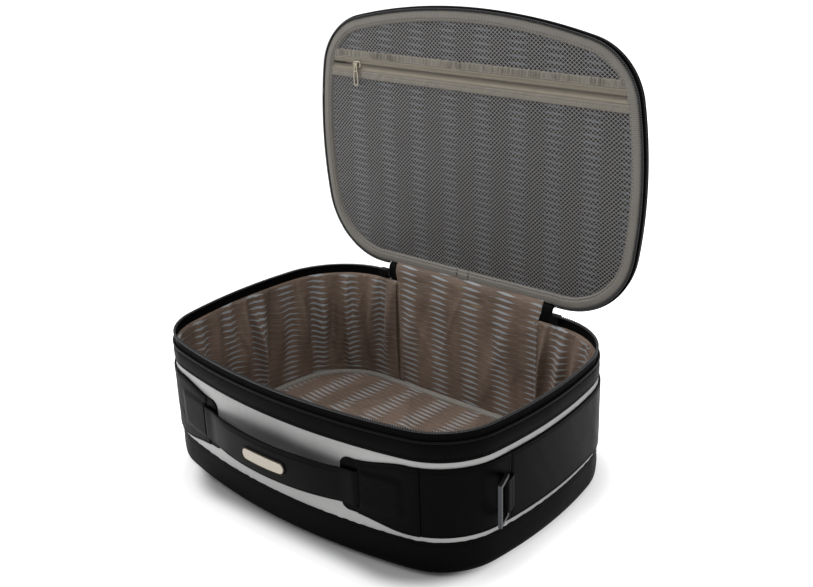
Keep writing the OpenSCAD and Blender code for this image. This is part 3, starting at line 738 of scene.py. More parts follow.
class Work:
    """Collects grids and repeated small shapes, in mm, into one piece."""

    def __init__(self, place: Place = Place.CASE) -> None:
        """Starts an empty piece."""
        self.place = place
        self.points: list[Array] = []
        self.uvs: list[Array] = []
        self.faces: list[Array] = []
        self.finish: list[Array] = []
        self.names: list[str] = []
        self.count = 0

    def _keep(self, points: Array, uv: Array, size: tuple[int, int], copies: int, flip: bool,
              finish: str) -> "Work":
        """Stores points and uv of copies of a grid of that size, one after the other."""
        m, n = size
        index = np.arange(m * n).reshape(m, n)
        quads = np.stack([index[:-1, :-1], index[1:, :-1], index[1:, 1:], index[:-1, 1:]],
                         -1).reshape(-1, 4)
        quads = (quads[None] + (np.arange(copies) * m * n)[:, None, None]).reshape(-1, 4)
        if finish not in self.names:
            self.names.append(finish)
        self.points.append(self.place.put(points.reshape(-1, 3)))
        self.uvs.append(uv.reshape(-1, 2))
        self.faces.append((quads[:, ::-1] if flip else quads) + self.count)
        self.finish.append(np.full(len(quads), self.names.index(finish)))
        self.count += copies * m * n
        return self

    def grid(self, points: Array, finish: str, uv: Optional[Array] = None,
             flip: bool = False) -> "Work":
        """Adds a grid of points (m, n, 3). Its faces look along (d/dm) x (d/dn), unless flip.

        Args:
            points: the grid, drawn in plan and height.
            finish: the finish's name.
            uv: (m, n, 2) in mm along the surface; left out, it is measured on the grid.
            flip: turns the faces the other way.
        """
        if uv is None:
            runs = [np.linalg.norm(np.diff(points, axis=k), axis=-1).mean(1 - k) for k in (0, 1)]
            uv = lattice(*(np.concatenate([[0], np.cumsum(run)]) for run in runs))
        return self._keep(points, uv, points.shape[:2], 1, flip, finish)

    def tube(self, path: Array, up: Array, radius: Union[float, Array], sides: int,
             finish: str, flip: bool = False) -> "Work":
        """Adds a tube round a path: circles of that radius across it, drawn from up."""
        return self.grid(tube(path, up, radius, sides), finish, flip=flip)

    def copies(self, shape: Array, at: Array, frames: Array, finish: str) -> "Work":
        """Adds a closed grid shape (m, n, 3) at each point, turned by each frame's columns.

        Args:
            shape: the small shape's grid about its own origin.
            at: (k, 3) places.
            frames: (k, 3, 3) matrices.
            finish: the finish's name.
        """
        flat = shape.reshape(-1, 3)
        points = np.einsum("kij,nj->kni", frames, flat) + at[:, None, :]
        uv = np.broadcast_to(flat[:, :2], (len(at), len(flat), 2))
        return self._keep(points, uv, shape.shape[:2], len(at), False, finish)

    def piece(self, name: str, body: Optional[str], slot: str, *stands_for: str,
              loose: bool = False) -> bpy.types.Object:
        """Makes the mesh, merges its seams and hangs it on a body.

        Args:
            name: the piece's name.
            body: the CAD body it rides on, or None, which leaves it on no body.
            slot: the record's material slot; not used.
            stands_for: CAD nodes that it replaces.
            loose: leaves doubled points apart.

        Returns:
            The object.
        """
        mesh = bpy.data.meshes.new(name)
        points = np.concatenate(self.points) * MM
        faces = np.concatenate(self.faces)
        mesh.from_pydata(points.tolist(), [], faces.tolist())
        mesh.polygons.foreach_set("material_index", np.concatenate(self.finish).astype(np.int32))
        layer = mesh.uv_layers.new(name="cloth")
        uv = (np.concatenate(self.uvs) * MM)[faces.reshape(-1)]
        layer.data.foreach_set("uv", uv.astype(np.float32).ravel())
        if not loose:
            welded = bmesh.new()
            welded.from_mesh(mesh)
            bmesh.ops.remove_doubles(welded, verts=welded.verts, dist=2e-6)
            welded.to_mesh(mesh)
            welded.free()
        mesh.polygons.foreach_set("use_smooth", np.ones(len(mesh.polygons), bool))
        for finish in self.names:
            mesh.materials.append(Finish.get(finish))
        made = link(name, mesh)
        if stands_for:
            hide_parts(*stands_for)
        if body:
            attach(made, body)
        log.info("%s: %d faces", name, len(mesh.polygons))
        return made


def bead(length: float, wide: float, tall: float, sides: int = 6) -> Array:
    """Small pill along x: rings of an ellipse whose size follows a rounded profile."""
    x = np.array([-0.5, -0.42, 0.0, 0.42, 0.5]) * length
    size = np.array([0.0, 0.82, 1.0, 0.82, 0.0])
    a = np.linspace(0, 2 * math.pi, sides + 1)
    ring = np.stack([np.zeros_like(a), np.cos(a) * wide / 2, np.sin(a) * tall / 2], -1)
    points = ring[None] * size[:, None, None]
    points[..., 0] = x[:, None]
    return points[::-1]


def spaced(path: Array, out: Array, pitch: float) -> tuple[Array, Array]:
    """Points every pitch along a path.

    Args:
        path: (n, 3) points.
        out: (n, 3) or (3,) directions that the surface faces.
        pitch: distance between points.

    Returns:
        The points, and frames whose columns are the path's direction, the direction across
        and the surface's direction.
    """
    run = travel(path)
    t = np.arange(pitch / 2, run[-1], pitch)
    along = unit(sample(t + 0.2, run, path) - sample(t - 0.2, run, path))
    face = sample(t, run, np.broadcast_to(out, path.shape))
    face = unit(face - along * (face * along).sum(-1, keepdims=True))
    return sample(t, run, path), np.stack([along, np.cross(face, along), face], -1)


def tube(path: Array, up: Array, radius: Union[float, Array], sides: int) -> Array:
    """Grid round a path: circles of that radius in the plane of up and the direction across."""
    along = heading(path)
    across = unit(np.cross(along, np.broadcast_to(up, path.shape)))
    top = np.cross(across, along)
    a = np.linspace(0, 2 * math.pi, sides + 1)
    radius = np.broadcast_to(radius, len(path))[:, None, None]
    ring = np.cos(a)[None, :, None] * across[:, None] + np.sin(a)[None, :, None] * top[:, None]
    return path[:, None] + ring * radius


# ---------------------------------------------------------------- case body

@dataclass
class Stitches:
    """Sewing thread in rows."""

    pitch: float = 3.4
    length: float = 2.5
    thick: float = 0.55

    def row(self, work: Work, path: Array, out: Array, finish: str = "taupe_thread") -> None:
        """Adds one row along a path on a surface that faces out."""
        at, frames = spaced(path, out, self.pitch)
        work.copies(bead(self.length, self.thick, self.thick * 0.8), at, frames, finish)

    def on_wall(self, work: Work, plan: Plan, s: Array, lift: Array, z: Array) -> None:
        """Adds one row of black thread round the outline, lifted off it."""
        self.row(work, plan.at(s, -lift, z), plan.facing(s), "thread")


def piping(plan: Plan, place: Place, z: float, radius: float = 1.05) -> Work:
    """Cord of piping between the zip's two ends, rounded off at both."""
    s = plan.zip_run(700)
    size = radius * roll(np.minimum(s - s[0], s[-1] - s) + 0.02, 1.0)
    return Work(place).tube(plan.at(s, 0.2, z), UP, size, 12, "piping", flip=True)


@dataclass
class Body:
    """Black lower band, satin middle and black upper band, with the piped rim seam."""

    plan: Plan
    lower_top: float = 30.0
    satin_top: float = 97.5
    band_top: float = 113.0
    roll_r: float = 8.0
    lower_sewn: float = 3.0
    upper_sewn: tuple[float, float] = (2.6, 2.2)

    def build(self) -> None:
        """Makes the bands, their stitches and the piping."""
        self.lower()
        self.satin()
        self.upper()
        self.piping()
        work = Work()
        for lift, z in ((0.62, self.lower_top - self.lower_sewn),
                        (0.58, self.satin_top + self.upper_sewn[0]),
                        (0.34, self.band_top - self.upper_sewn[1])):
            Stitches().on_wall(work, self.plan, self.plan.ring(1.0), lift, z)
        work.piece("body_stitches", "case", "leather_black", loose=True)

    def band(self, profile: Array, bulge: Callable[[Array, Array], Array], finish: str) -> Work:
        """Carries a profile of (inset, z) round the outline and swells it by bulge(s, z)."""
        s = self.plan.ring(2.0)
        inset, z = profile.T
        points = self.plan.at(s[:, None], inset - bulge(s[:, None], z[None]), z[None])
        return Work().grid(points, finish, lattice(s, travel(profile)))

    def lower(self) -> None:
        """Lower band: rolled bottom edge, a soft swell and a turned top edge."""
        a, r, top = np.radians(np.linspace(90, 0, 12)), self.roll_r, self.lower_top
        bottom = np.stack([r - r * np.cos(a), r - r * np.sin(a)], -1)
        wall = np.stack([np.zeros(14), np.linspace(r + 1, top - 1.0, 14)], -1)
        turned = np.array([[0.08, top - 0.5], [0.35, top - 0.12], [0.8, top], [1.2, top - 0.4],
                           [1.3, top - 4.0]])
        wave = Wobble(3, self.plan.length, 3, 16)

        def bulge(s: Array, z: Array) -> Array:
            """Swell of the wall between its roll and its seam, with the stitched dip below it."""
            lift = np.sin(np.pi * smooth(z, 1.0, top)) * (0.75 + 0.3 * wave(s))
            return lift - 0.3 * bell(z - (top - self.lower_sewn), 0.7)

        self.band(np.concatenate([bottom, wall, turned]), bulge, "leather").piece(
            "lower_band_skin", "case", "leather_black", "lower_band")

    def satin(self) -> None:
        """Satin middle: stretched over the board, with slight puckers at its seams."""
        z = np.concatenate([np.linspace(28.4, 31.5, 4), np.linspace(33, 94.5, 34),
                            np.linspace(96, 99.0, 4)])
        pucker = Wobble(7, self.plan.length, 60, 150)
        sag = Wobble(9, self.plan.length, 6, 22)

        def bulge(s: Array, z: Array) -> Array:
            """Cushion between the seams, with puckers that die out away from them."""
            edge = np.minimum(z - self.lower_top, self.satin_top - z)
            return 0.75 * roll(edge, 14.0) - 0.35 + 0.20 * pucker(s) * bell(edge, 7.0) \
                + 0.45 * sag(s) * roll(edge, 20.0)

        made = self.band(np.stack([np.full_like(z, 0.35), z], -1), bulge, "satin").piece(
            "satin_band", "case", "satin_silver", "silver_band")

    def upper(self) -> None:
        """Upper band: turned lower edge, a swell, and its top edge under the piping."""
        low, high = self.satin_top, self.band_top
        z = np.linspace(low + 1.1, high - 0.8, 12)
        profile = np.concatenate([
            [[1.3, low + 2.6], [1.2, low + 0.3], [0.75, low], [0.3, low + 0.15], [0.06, low + 0.55]],
            np.stack([np.zeros_like(z), z], -1), [[0.15, high - 0.3], [0.7, high], [1.4, high]]])
        wave = Wobble(5, self.plan.length, 4, 20)

        def bulge(s: Array, z: Array) -> Array:
            """Swell between the edges, with the stitched dips near both."""
            dips = sum(bell(at, 0.7) for at in (z - low - self.upper_sewn[0],
                                                z - high + self.upper_sewn[1]))
            return np.sin(np.pi * smooth(z, low, high)) * (0.6 + 0.22 * wave(s)) \
                + 0.15 * roll(z - low, 1.0) - 0.22 * dips

        self.band(profile, bulge, "leather").piece(
            "upper_band_skin", "case", "leather_black", "upper_band")

    def piping(self) -> None:
        """Piping on the rim seam: one cord in a folded strip."""
        work = piping(self.plan, Place.CASE, self.band_top + 1.0)
        skirt = self.plan.at(self.plan.zip_run(700)[:, None], np.array([[0.4, 1.35]]),
                             self.band_top + 0.1)
        work.grid(skirt, "piping", flip=True)
        work.piece("rim_piping_cord", "case", "piping_black", "rim_piping")


@dataclass
class Belt:
    """Leather belt round the middle: two tongues that hold the handle, corners, sides, back.
    Neighbouring panels lap at their seams."""

    plan: Plan
    low: float = 34.5
    high: float = 93.0
    thick: float = 1.8
    tongue_thick: float = 2.6
    tongue_x: float = 70.0
    tip_half: float = 23.0
    tip_r: float = 7.0
    slit_x: float = 86.0
    seam_x: float = 136.5
    seam_y: float = -49.0
    back_x: float = 97.5
    lap: float = 0.3
    sewn_in: float = 2.6
    crease_span: float = 90.0

    @property
    def middle(self) -> float:
        """Height of the belt's middle."""
        return (self.low + self.high) / 2

    @property
    def half(self) -> float:
        """Half the belt's height."""
        return (self.high - self.low) / 2

    def tongue_half(self, d: Array) -> Array:
        """Half height of a tongue at distance d from its end: a rounded tip, then a flare."""
        r = self.tip_r
        tip = self.tip_half - r + r * roll(d, r)
        reach = self.seam_x - self.tongue_x
        return tip + (self.half - self.tip_half) * smooth(d, reach * 0.16, reach * 0.86)

    def panel(self, s: Array, half: Array, rise: Callable[[Array, Array, Array], Array],
              thick: float) -> Work:
        """A panel with rolled edges.

        Args:
            s: places along the outline.
            half: half height at each s.
            rise: extra height above the panel at (s, z, distance from its long edges).
            thick: the panel's height above the wall.

        Returns:
            The new piece's work.
        """
        near = np.array([0, 0.1, 0.35, 0.75, 1.2, 1.8, 2.2, 2.6, 3.0, 3.6])
        tall = 2 * half[:, None]
        d = np.concatenate([np.tile(near, (len(s), 1)),
                            np.linspace(0, 1, 26)[None] * (tall - 8.4) + 4.2,
                            tall - near[::-1][None]], 1)
        z = self.middle - half[:, None] + d
        edge = np.minimum(d, tall - d)
        ends = np.minimum(np.abs(s - s[0]), np.abs(s[-1] - s))
        lift = roll(edge, 1.4) * roll(ends, 1.4)[:, None]
        wide = np.broadcast_to(s[:, None], z.shape)
        out = thick * lift + rise(wide, z, edge) * lift
        return Work().grid(self.plan.at(wide, -out, z), "belt", np.stack([wide, z], -1),
                           flip=s[-1] < s[0])

    def build(self) -> None:
        """Makes every panel, then the stitches."""
        plan, lap = self.plan, self.lap
        for side, name in SIDES:
            self.tongue(side, name)
            self.plain(f"belt_corner_leather_{name}", f"belt_corner_{name}", 31,
                       side * plan.s_front(self.seam_x - lap),
                       side * plan.s_side(self.seam_y + lap))
            self.plain(f"belt_side_leather_{name}", f"belt_side_{name}", 37,
                       side * plan.s_side(self.seam_y - lap),
                       side * plan.s_back(self.back_x - lap))
        self.plain("belt_back_leather", "belt_back", 41, plan.half - (self.back_x + lap),
                   plan.half + (self.back_x + lap))
        self.sewing()

    def tongue(self, side: int, name: str) -> None:
        """Tongue: the flap that the handle strap lies on, the slit, and the raised pocket
        with the strap's end inside."""
        s0, s1 = self.plan.s_front(self.tongue_x), self.plan.s_front(self.seam_x + self.lap)
        slit = self.plan.s_front(self.slit_x)
        run = np.unique(np.concatenate([s0 + grid_axis(s1 - s0, 1.6, 2.2),
                                        slit + np.linspace(-3.5, 5.0, 35)]))
        crease = Wobble(21 + side, 60.0, 1, 5)

        def rise(s: Array, z: Array, edge: Array) -> Array:
            """Slit groove, strap end under the leather, sewn dip and slight creases."""
            a, y = np.abs(s) - slit, np.abs(z - self.middle)
            lip = (1 - smooth(y, 16.2, 17.6)) * (1 - smooth(np.abs(a + 0.2), 0.55, 1.15))
            strap = smooth(a, 0.6, 3.2) * (1 - smooth(a, 34, 41)) * (1 - smooth(y, 13.2, 17.5))
            flap = (1 - smooth(a, -1.8, 0.0)) * 0.9
            fold = bell(y - 15.0, 1.6) * smooth(a, 1, 8) * (1 - smooth(a, 30, 44))
            soft = 0.10 * crease(s * 0.8 + z) * smooth(edge, 3, 9)
            return 1.15 * strap - flap - 2.5 * lip - 0.28 * bell(edge - self.sewn_in, 0.6) \
                + 0.1375 * fold + soft

        made = self.panel(side * run, self.tongue_half(run - s0), rise, self.tongue_thick).piece(
            f"belt_tongue_leather_{name}", "case", "belt_leather", f"belt_tongue_{name}",
            f"strap_anchor_{name}")

    def plain(self, name: str, node: str, seed: int, *ends: float) -> None:
        """A plain belt panel between two places, with soft creases and a sewn dip."""
        s0, s1 = sorted(ends)
        run = s0 + grid_axis(s1 - s0, 2.2, 2.2)
        crease = Wobble(seed, self.crease_span, 1, 6)

        def rise(s: Array, z: Array, edge: Array) -> Array:
            """Sewn dip along the long edges and slight unevenness."""
            return 0.12 * crease(s + 0.6 * z) * smooth(edge, 3, 10) \
                - 0.25 * bell(edge - self.sewn_in, 0.6)

        made = self.panel(run, np.full(len(run), self.half), rise, self.thick).piece(
            name, "case", "belt_leather", node)

    def sewing(self) -> None:
        """Thread along the belt's edges and down its seams."""
        plan, work, sew = self.plan, Work(), Stitches(3.2, 2.3, 0.5)
        s0, slit = plan.s_front(self.tongue_x), plan.s_front(self.slit_x)
        front, beside = plan.s_front(self.seam_x), plan.s_side(self.seam_y)
        edges = [self.middle + up * (self.half - self.sewn_in) for up in (1, -1)]
        for side, _ in SIDES:
            for up, z in zip((1, -1), edges):
                run = np.linspace(s0 + 4.0, plan.s_front(self.seam_x - 3), 90)
                lift = self.tongue_thick - 0.2 - 0.9 * (1 - smooth(run - slit, -1.8, 0.0))
                sew.on_wall(work, plan, side * run, lift,
                            self.middle + up * (self.tongue_half(run - s0) - self.sewn_in))
                for start, end in ((plan.s_front(self.seam_x + 2), plan.s_side(self.seam_y - 2)),
                                   (plan.s_side(self.seam_y + 2), plan.s_back(self.back_x + 2))):
                    run = np.linspace(start, end, 200)
                    sew.on_wall(work, plan, side * run, self.thick - 0.12, z)
            for at, lift in ((front - 2.4, self.tongue_thick), (front + 2.4, self.thick),
                             (beside - 2.4, self.thick), (beside + 2.4, self.thick)):
                z = np.linspace(self.low + 3, self.high - 3, 60)
                sew.on_wall(work, plan, np.full_like(z, side * at), lift, z)
        reach = self.back_x - 2.5
        for z in edges:
            sew.on_wall(work, plan, np.linspace(plan.half - reach, plan.half + reach, 120),
                        self.thick - 0.12, z)
        work.piece("belt_stitches", "case", "belt_leather", loose=True)


@dataclass
class RingTab:
    """Leather loop that holds a strap ring to the side of the belt. It starts at the seam at
    root_y, and its row of thread runs down it just outside."""

    plan: Plan
    tall: float = 28.2
    leather: float = 1.2
    bar_r: float = 1.45
    ring_y: float = -58.0
    root_y: float = -49.3
    middle: float = 60.75
    belt_thick: float = 1.8
    sewn_row: int = 6

    def build(self) -> None:
        """Makes both tabs."""
        for side, name in SIDES:
            self.tab(side, name)

    def outside(self, y: float) -> float:
        """x of the belt's outer face at y."""
        return self.plan.look(self.plan.s_side(y))[0][0] + self.belt_thick

    def path(self) -> Array:
        """Plan line of the strip's middle: from the seam round the ring's bar and back."""
        root, y0 = self.outside(self.root_y), self.root_y + 0.8
        r = self.bar_r + self.leather / 2
        centre = [self.outside(self.ring_y) + self.bar_r + self.leather + 0.3, self.ring_y]
        a = np.radians(np.linspace(0, -180, 26))
        loop = centre + r * np.stack([np.cos(a), np.sin(a)], -1)
        bow = 0.35 * np.sin(np.linspace(0, math.pi, 12))
        outer = np.stack([np.linspace(root + 1.5, loop[0, 0], 12) + bow,
                          np.linspace(y0, self.ring_y, 12)], -1)
        inner = np.linspace([loop[-1, 0], self.ring_y], [root + 0.5, y0], 8)
        return np.concatenate([outer[:-1], loop, inner[1:]])

    def tab(self, side: int, name: str) -> None:
        """One tab: the strip, with rolled edges, and its thread."""
        path = self.path()
        along = heading(path)
        facing = np.stack([-along[:, 1], along[:, 0]], -1)
        z = grid_axis(self.tall, 2.0, 0.8)
        thick = self.leather / 2 * roll(np.minimum(z, self.tall - z) + 0.01, 0.6)
        section = np.concatenate([z, z[::-1], z[:1]])
        lift = closed(thick)
        sewn = 0.15 * bell(np.minimum(section, self.tall - section) - 2.2, 0.5)
        lift = lift - np.sign(lift) * sewn
        points = stacked(path[:, None] + facing[:, None] * lift[None, :, None],
                         (self.middle - self.tall / 2 + section)[None])
        points[..., 0] *= side
        work = Work().grid(points, "belt", flip=side < 0)
        x, y = path[self.sewn_row]
        reach = self.tall / 2 - 2
        line = np.linspace([side * (x + self.leather / 2 + 0.02), y, self.middle - reach],
                           [side * (x + self.leather / 2 + 0.02), y, self.middle + reach], 40)
        Stitches(2.6, 1.9, 0.45).row(work, line, np.array([side, 0.2, 0.0]), "thread")
        work.piece(f"ring_tab_leather_{name}", "case", "belt_leather", f"ring_tab_{name}")


@dataclass
class Handle:
    """Padded strap on the front with a rounded nameplate."""

    plan: Plan
    tall: float = 30.0
    thick: float = 5.0
    end_thick: float = 2.2
    gap: float = 7.0
    grip_x: float = 60.0
    slit_x: float = 86.0
    end_out: float = 4.1
    sunk: float = 1.3
    held_x: float = 84.0
    free_x: float = 61.0
    groove_in: float = 2.4
    middle: float = 63.75
    plate_l: float = 46.0
    plate_h: float = 9.5

    def centre_line(self, x: Array) -> tuple[Array, Array]:
        """Middle of the strap in plan and its outward direction: an arc over the grip, the
        wall's own curve beside it, and a dive through the slit."""
        front, centre_y = -self.plan.depth / 2, self.plan.front_r - self.plan.depth / 2
        mid_y = front - self.gap
        end_y = centre_y - math.sqrt((self.plan.front_r + 3.5) ** 2 - self.grip_x ** 2)
        sag = end_y - mid_y
        radius = (self.grip_x ** 2 + sag ** 2) / (2 * sag)
        wall = centre_y - np.sqrt(self.plan.front_r ** 2 - x ** 2)
        arc = mid_y + radius - np.sqrt((radius + self.thick / 2) ** 2 - x ** 2)
        dive = smooth(np.abs(x), self.slit_x - 2.2, self.slit_x + 2.2)
        beside = wall - self.end_out * (1 - dive) - self.sunk * dive
        share = smooth(np.abs(x), self.grip_x + 4, self.slit_x - 4)
        y = arc * (1 - share) + beside * share
        return np.stack([x, y], -1), unit(np.stack([np.gradient(y, x), -np.ones_like(x)], -1))

    def thickness(self, x: Array) -> Array:
        """The strap's thickness: padded over the grip, flat at its ends."""
        return self.end_thick + (self.thick - self.end_thick) * (
            1 - smooth(np.abs(x), self.grip_x - 16, self.slit_x - 6))

    def strap(self, x0: float, x1: float) -> Work:
        """The strap between two x. Its section is a rounded slab of half height tall / 2 and
        half thickness t / 2, with sewn dips just inside the long edges."""
        x = np.linspace(x0, x1, int(abs(x1 - x0) / 0.8) + 1)
        xy, out = self.centre_line(x)
        t = self.thickness(x)
        half = self.tall / 2 + 0.35 * (1 - smooth(np.abs(x), 30, self.grip_x)) \
            - 0.5 * smooth(np.abs(x), self.slit_x - 4, self.slit_x)
        d = np.array([0, 0.12, 0.4, 0.8, 1.3, 1.9, 2.4, 2.9, 3.6, 5.0, 7.0, 9.5, 12.0])
        face = np.concatenate([d, self.tall - d[::-1]])
        edge = np.minimum(face, self.tall - face)
        dome = roll(edge, 2.2) * 0.82 + 0.18 * np.sin(np.pi * face / self.tall)
        groove = 0.45 * bell(edge - self.groove_in, 0.5)
        side = dome[None] * t[:, None] / 2
        lift = np.concatenate([side - groove[None] * (t[:, None] / self.thick),
                               -side[:, ::-1][:, 1:]], 1)
        height = np.concatenate([face, face[::-1][1:]])
        z = self.middle + (height[None] / self.tall * 2 - 1) * half[:, None]
        return Work().grid(stacked(xy[:, None] + out[:, None] * lift[..., None], z), "grip")

    def build(self) -> None:
        """Makes the grip, the two strap ends, the stitches and the nameplate."""
        grip = self.strap(-self.grip_x, self.grip_x).piece(
            "grip_leather", "handle", "belt_leather", "grip")
        for side, name in SIDES:
            end = self.strap(*sorted((side * self.grip_x, side * (self.slit_x + 5.0)))).piece(
                f"strap_end_leather_{name}", None, "belt_leather", f"strap_end_{name}")
            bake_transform(end)
        self.sewing()
        self.nameplate()

    def sewing(self) -> None:
        """Thread along both long edges of the grip."""
        work = Work()
        x = np.linspace(-self.grip_x + 1, self.grip_x - 1, 200)
        xy, out = self.centre_line(x)
        sunk = xy + out * (self.thickness(x) / 2 * 0.83 - 0.15)[:, None]
        for up in (1, -1):
            Stitches(3.0, 2.1, 0.45).row(
                work, stacked(sunk, self.middle + up * (self.tall / 2 - 2.3)), stacked(out, 0.0),
                "thread")
        work.piece("grip_stitches", "handle", "belt_leather", loose=True)

    def nameplate(self) -> None:
        """Bare rounded plate with a crowned face, and the thin dark rim that it sits in. Each is
        a stack of its outline, drawn in to each share of its size at each height."""
        line = np.linspace(-30, 30, 241)
        xy, out = self.centre_line(line)
        a = np.linspace(0, 2 * math.pi, 97)
        plate = (1.0, 1.0, 0.985, 0.95, 0.90, 0.80, 0.6, 0.3, 0.0)
        crown = (-0.9, 1.05, 1.29, 1.395, 1.35, 1.44, 1.5, 1.53, 1.545)
        rim = (1.0, 1.0, 0.985, 0.955, 0.93, 0.91, 0.90)
        lip = (-0.75, 0.75, 1.25, 1.4, 1.25, 0.75, 0.125)
        for name, node, slot, finish, grow, low, shares, heights in (
                ("nameplate_plate", "nameplate", "metal_champagne", "plate", 0.0, 0.2, plate,
                 crown),
                ("nameplate_frame", "nameplate_rim", "plate_edge", "plate_rim", 1.2, 0.0, rim,
                 lip)):
            half_l, half_h = self.plate_l / 2 + grow, self.plate_h / 2 + grow
            edge = np.clip(np.cos(a) * 3.0, -1, 1) * (half_l - half_h) + half_h * np.cos(a)
            k = np.array(shares)[:, None]
            x = edge[None] * (1 - (1 - k) * half_h / half_l if grow else k)
            z = half_h * np.sin(a)[None] * k
            lift = self.thick / 2 * 0.98 + low + np.array(heights)[:, None]
            flat = sample(x, line, xy) + sample(x, line, out) * lift[..., None]
            Work().grid(stacked(flat, self.middle + z), finish, flip=True).piece(
                name, "handle", slot, node)


# ---------------------------------------------------------------- inside

@dataclass
class Inside:
    """Lining of the walls, back and floor, with the ribbed binding round the floor."""

    plan: Plan
    inset: float = 3.9
    floor_z: float = 4.0
    top: float = 113.2
    panel_x: float = 83.0
    panel_sewn: float = 3.3
    panel_y: float = 121.55
    floor_in: float = 4.0
    floor_flat: tuple[float, float] = (348.6, 244.6)
    binding_in: float = 4.9
    binding_half: float = 3.4
    binding_h: float = 2.6

    def build(self) -> None:
        """Makes the linings, the seams beside the back panel and the floor binding."""
        self.walls()
        self.back()
        self.floor()
        self.binding()

    def walls(self) -> None:
        """Wall lining: hangs inside the board with soft slanted folds, gathered at its top."""
        end = self.plan.s_back(self.panel_x + 0.3)
        s = np.linspace(-end, end, 1100)
        z = np.concatenate([np.linspace(self.floor_z + 0.3, 100, 56),
                            np.linspace(101, self.top, 14)])
        span = (-end, end)
        wide = Folds(11, span, 46, (0.5, 7.6), (3.0, 6.0), 0.16, (30, 95), (0.6, 1.6))
        fine = Folds(12, span, 80, (-0.5, 1.3), (1.6, 3.6), 0.5, (20, 112))
        pleat = Wobble(13, 2 * end, 70, 150)
        hang = Wobble(15, 2 * end, 26, 48)
        ripple = Wobble(14, 2 * end, 9, 30)

        def inward(s: Array, z: Array) -> Array:
            """Distance of the cloth inward from the board."""
            free = smooth(z, self.floor_z, 22) * (1 - smooth(z, 66, self.top)) ** 0.5
            gather = 0.55 * pleat(s) * bell(z - self.top, 11.0) * smooth(self.top - z, 0, 3)
            folds = wide(s, z) + fine(s, z) + 0.5 * ripple(s) + 3.4 * (
                0.75 + hang(s + 0.10 * z)) * smooth(z, 10, 60)
            return np.clip(free * folds + gather, -0.3, None) + 0.5 * roll(self.top - z, 6.0)

        shift = inward(s[:, None], z[None])
        tuck = 1.7 * bell(z - self.top - 0.2, 0.9)
        points = self.plan.at(s[:, None], self.inset + shift - tuck[None], z[None])
        uv = lattice(-s, z) + shift[..., None] * [-0.5, 0.25]
        made = Work().grid(points, "lining", uv, flip=True).piece(
            "wall_lining", "case", "lining_fabric", "lining_walls")

    def back(self) -> None:
        """Back panel between two folded seams. It runs on over the hinge to the lid's binding."""
        half = self.panel_x
        side = Hinge.path([(122.1, self.floor_z + 0.3), (122.1, 60.0), (122.2, 100.0),
                           (123.0, 110.0), (123.7, 120.0)], (124.1, 125.5),
                          [(126.2, 129.4), (127.6, 131.8), (128.4, 133.6)], 130)
        near = np.array([0, 0.3, 0.7, 1.3, 2.0, 2.8, 3.4, 4.2])
        x = np.concatenate([near - half, np.linspace(5.4 - half, half - 5.4, 230),
                            half - near[::-1]])
        y, z = side.T
        wide = Folds(17, (-half, half), 8, (-0.6, 2.3), (6, 14), 0.5, (15, 110))
        fine = Folds(18, (-half, half), 26, (-0.4, 0.8), (1.8, 4.5), 0.8, (10, 118))
        edge = half - np.abs(x)
        free = (smooth(edge, 0, 10)[:, None] * smooth(z, self.floor_z, 25)[None]
                * (1 - smooth(z, 112, 121))[None])
        shift = np.clip(free * (wide(x[:, None], z[None]) + fine(x[:, None], z[None])), -0.3, None)
        shift += (0.9 * roll(edge, 2.2) - 0.5 * bell(edge - self.panel_sewn, 0.7))[:, None] * (
            1 - 0.65 * smooth(z, 100, 116))[None]
        along = heading(side)
        points = np.stack([x[:, None] * (1 + 0.03 * smooth(z, 112, 124))[None],
                           y - along[:, 1] * shift, z + along[:, 0] * shift], -1)
        run = travel(side)
        uv = lattice(x + 11.5, run) + shift[..., None] * [0.4, 0.0]
        made = Work().grid(points, "lining", uv).piece("back_lining", None, "lining_fabric",
                                                       "lining_back")
        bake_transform(made)
        seams = Work()
        for at in (self.panel_sewn - half, half - self.panel_sewn):
            line = np.linspace([at, self.panel_y, self.floor_z + 4], [at, self.panel_y, 112], 60)
            Stitches(3.4, 2.2, 0.55).row(seams, line, np.array([0, -1.0, 0]))
        seams.piece("back_seam_stitches", "case", "lining_fabric", loose=True)

    def floor(self) -> None:
        """Floor lining: lies on the base board, slack at its edge and slightly rumpled."""
        k = np.concatenate([np.linspace(0, 0.9, 46), np.linspace(0.92, 1.0, 12)])
        rim, xy = self.plan.disc(self.plan.ring(3.0), self.floor_in, k)
        span = (-150, 150)
        folds = Folds(23, span, 20, (0.3, 2.1), (2.5, 8.0), 1.2, (-110, 110))
        broad = Folds(24, span, 7, (-0.3, 0.8), (14, 30), 1.0, (-110, 110))
        lift = np.clip(folds(xy[..., 0], xy[..., 1]) + broad(xy[..., 0], xy[..., 1]), 0, 2.9)
        lift = lift * (1 - smooth(k, 0.93, 1.0))[None] * smooth(k, 0.0, 0.05)[None]
        made = Work().grid(stacked(xy, self.floor_z + 0.1 + lift), "lining",
                           xy + lift[..., None] * [0.8, 0.5], flip=True).piece(
            "floor_lining", "case", "lining_fabric", "lining_floor")

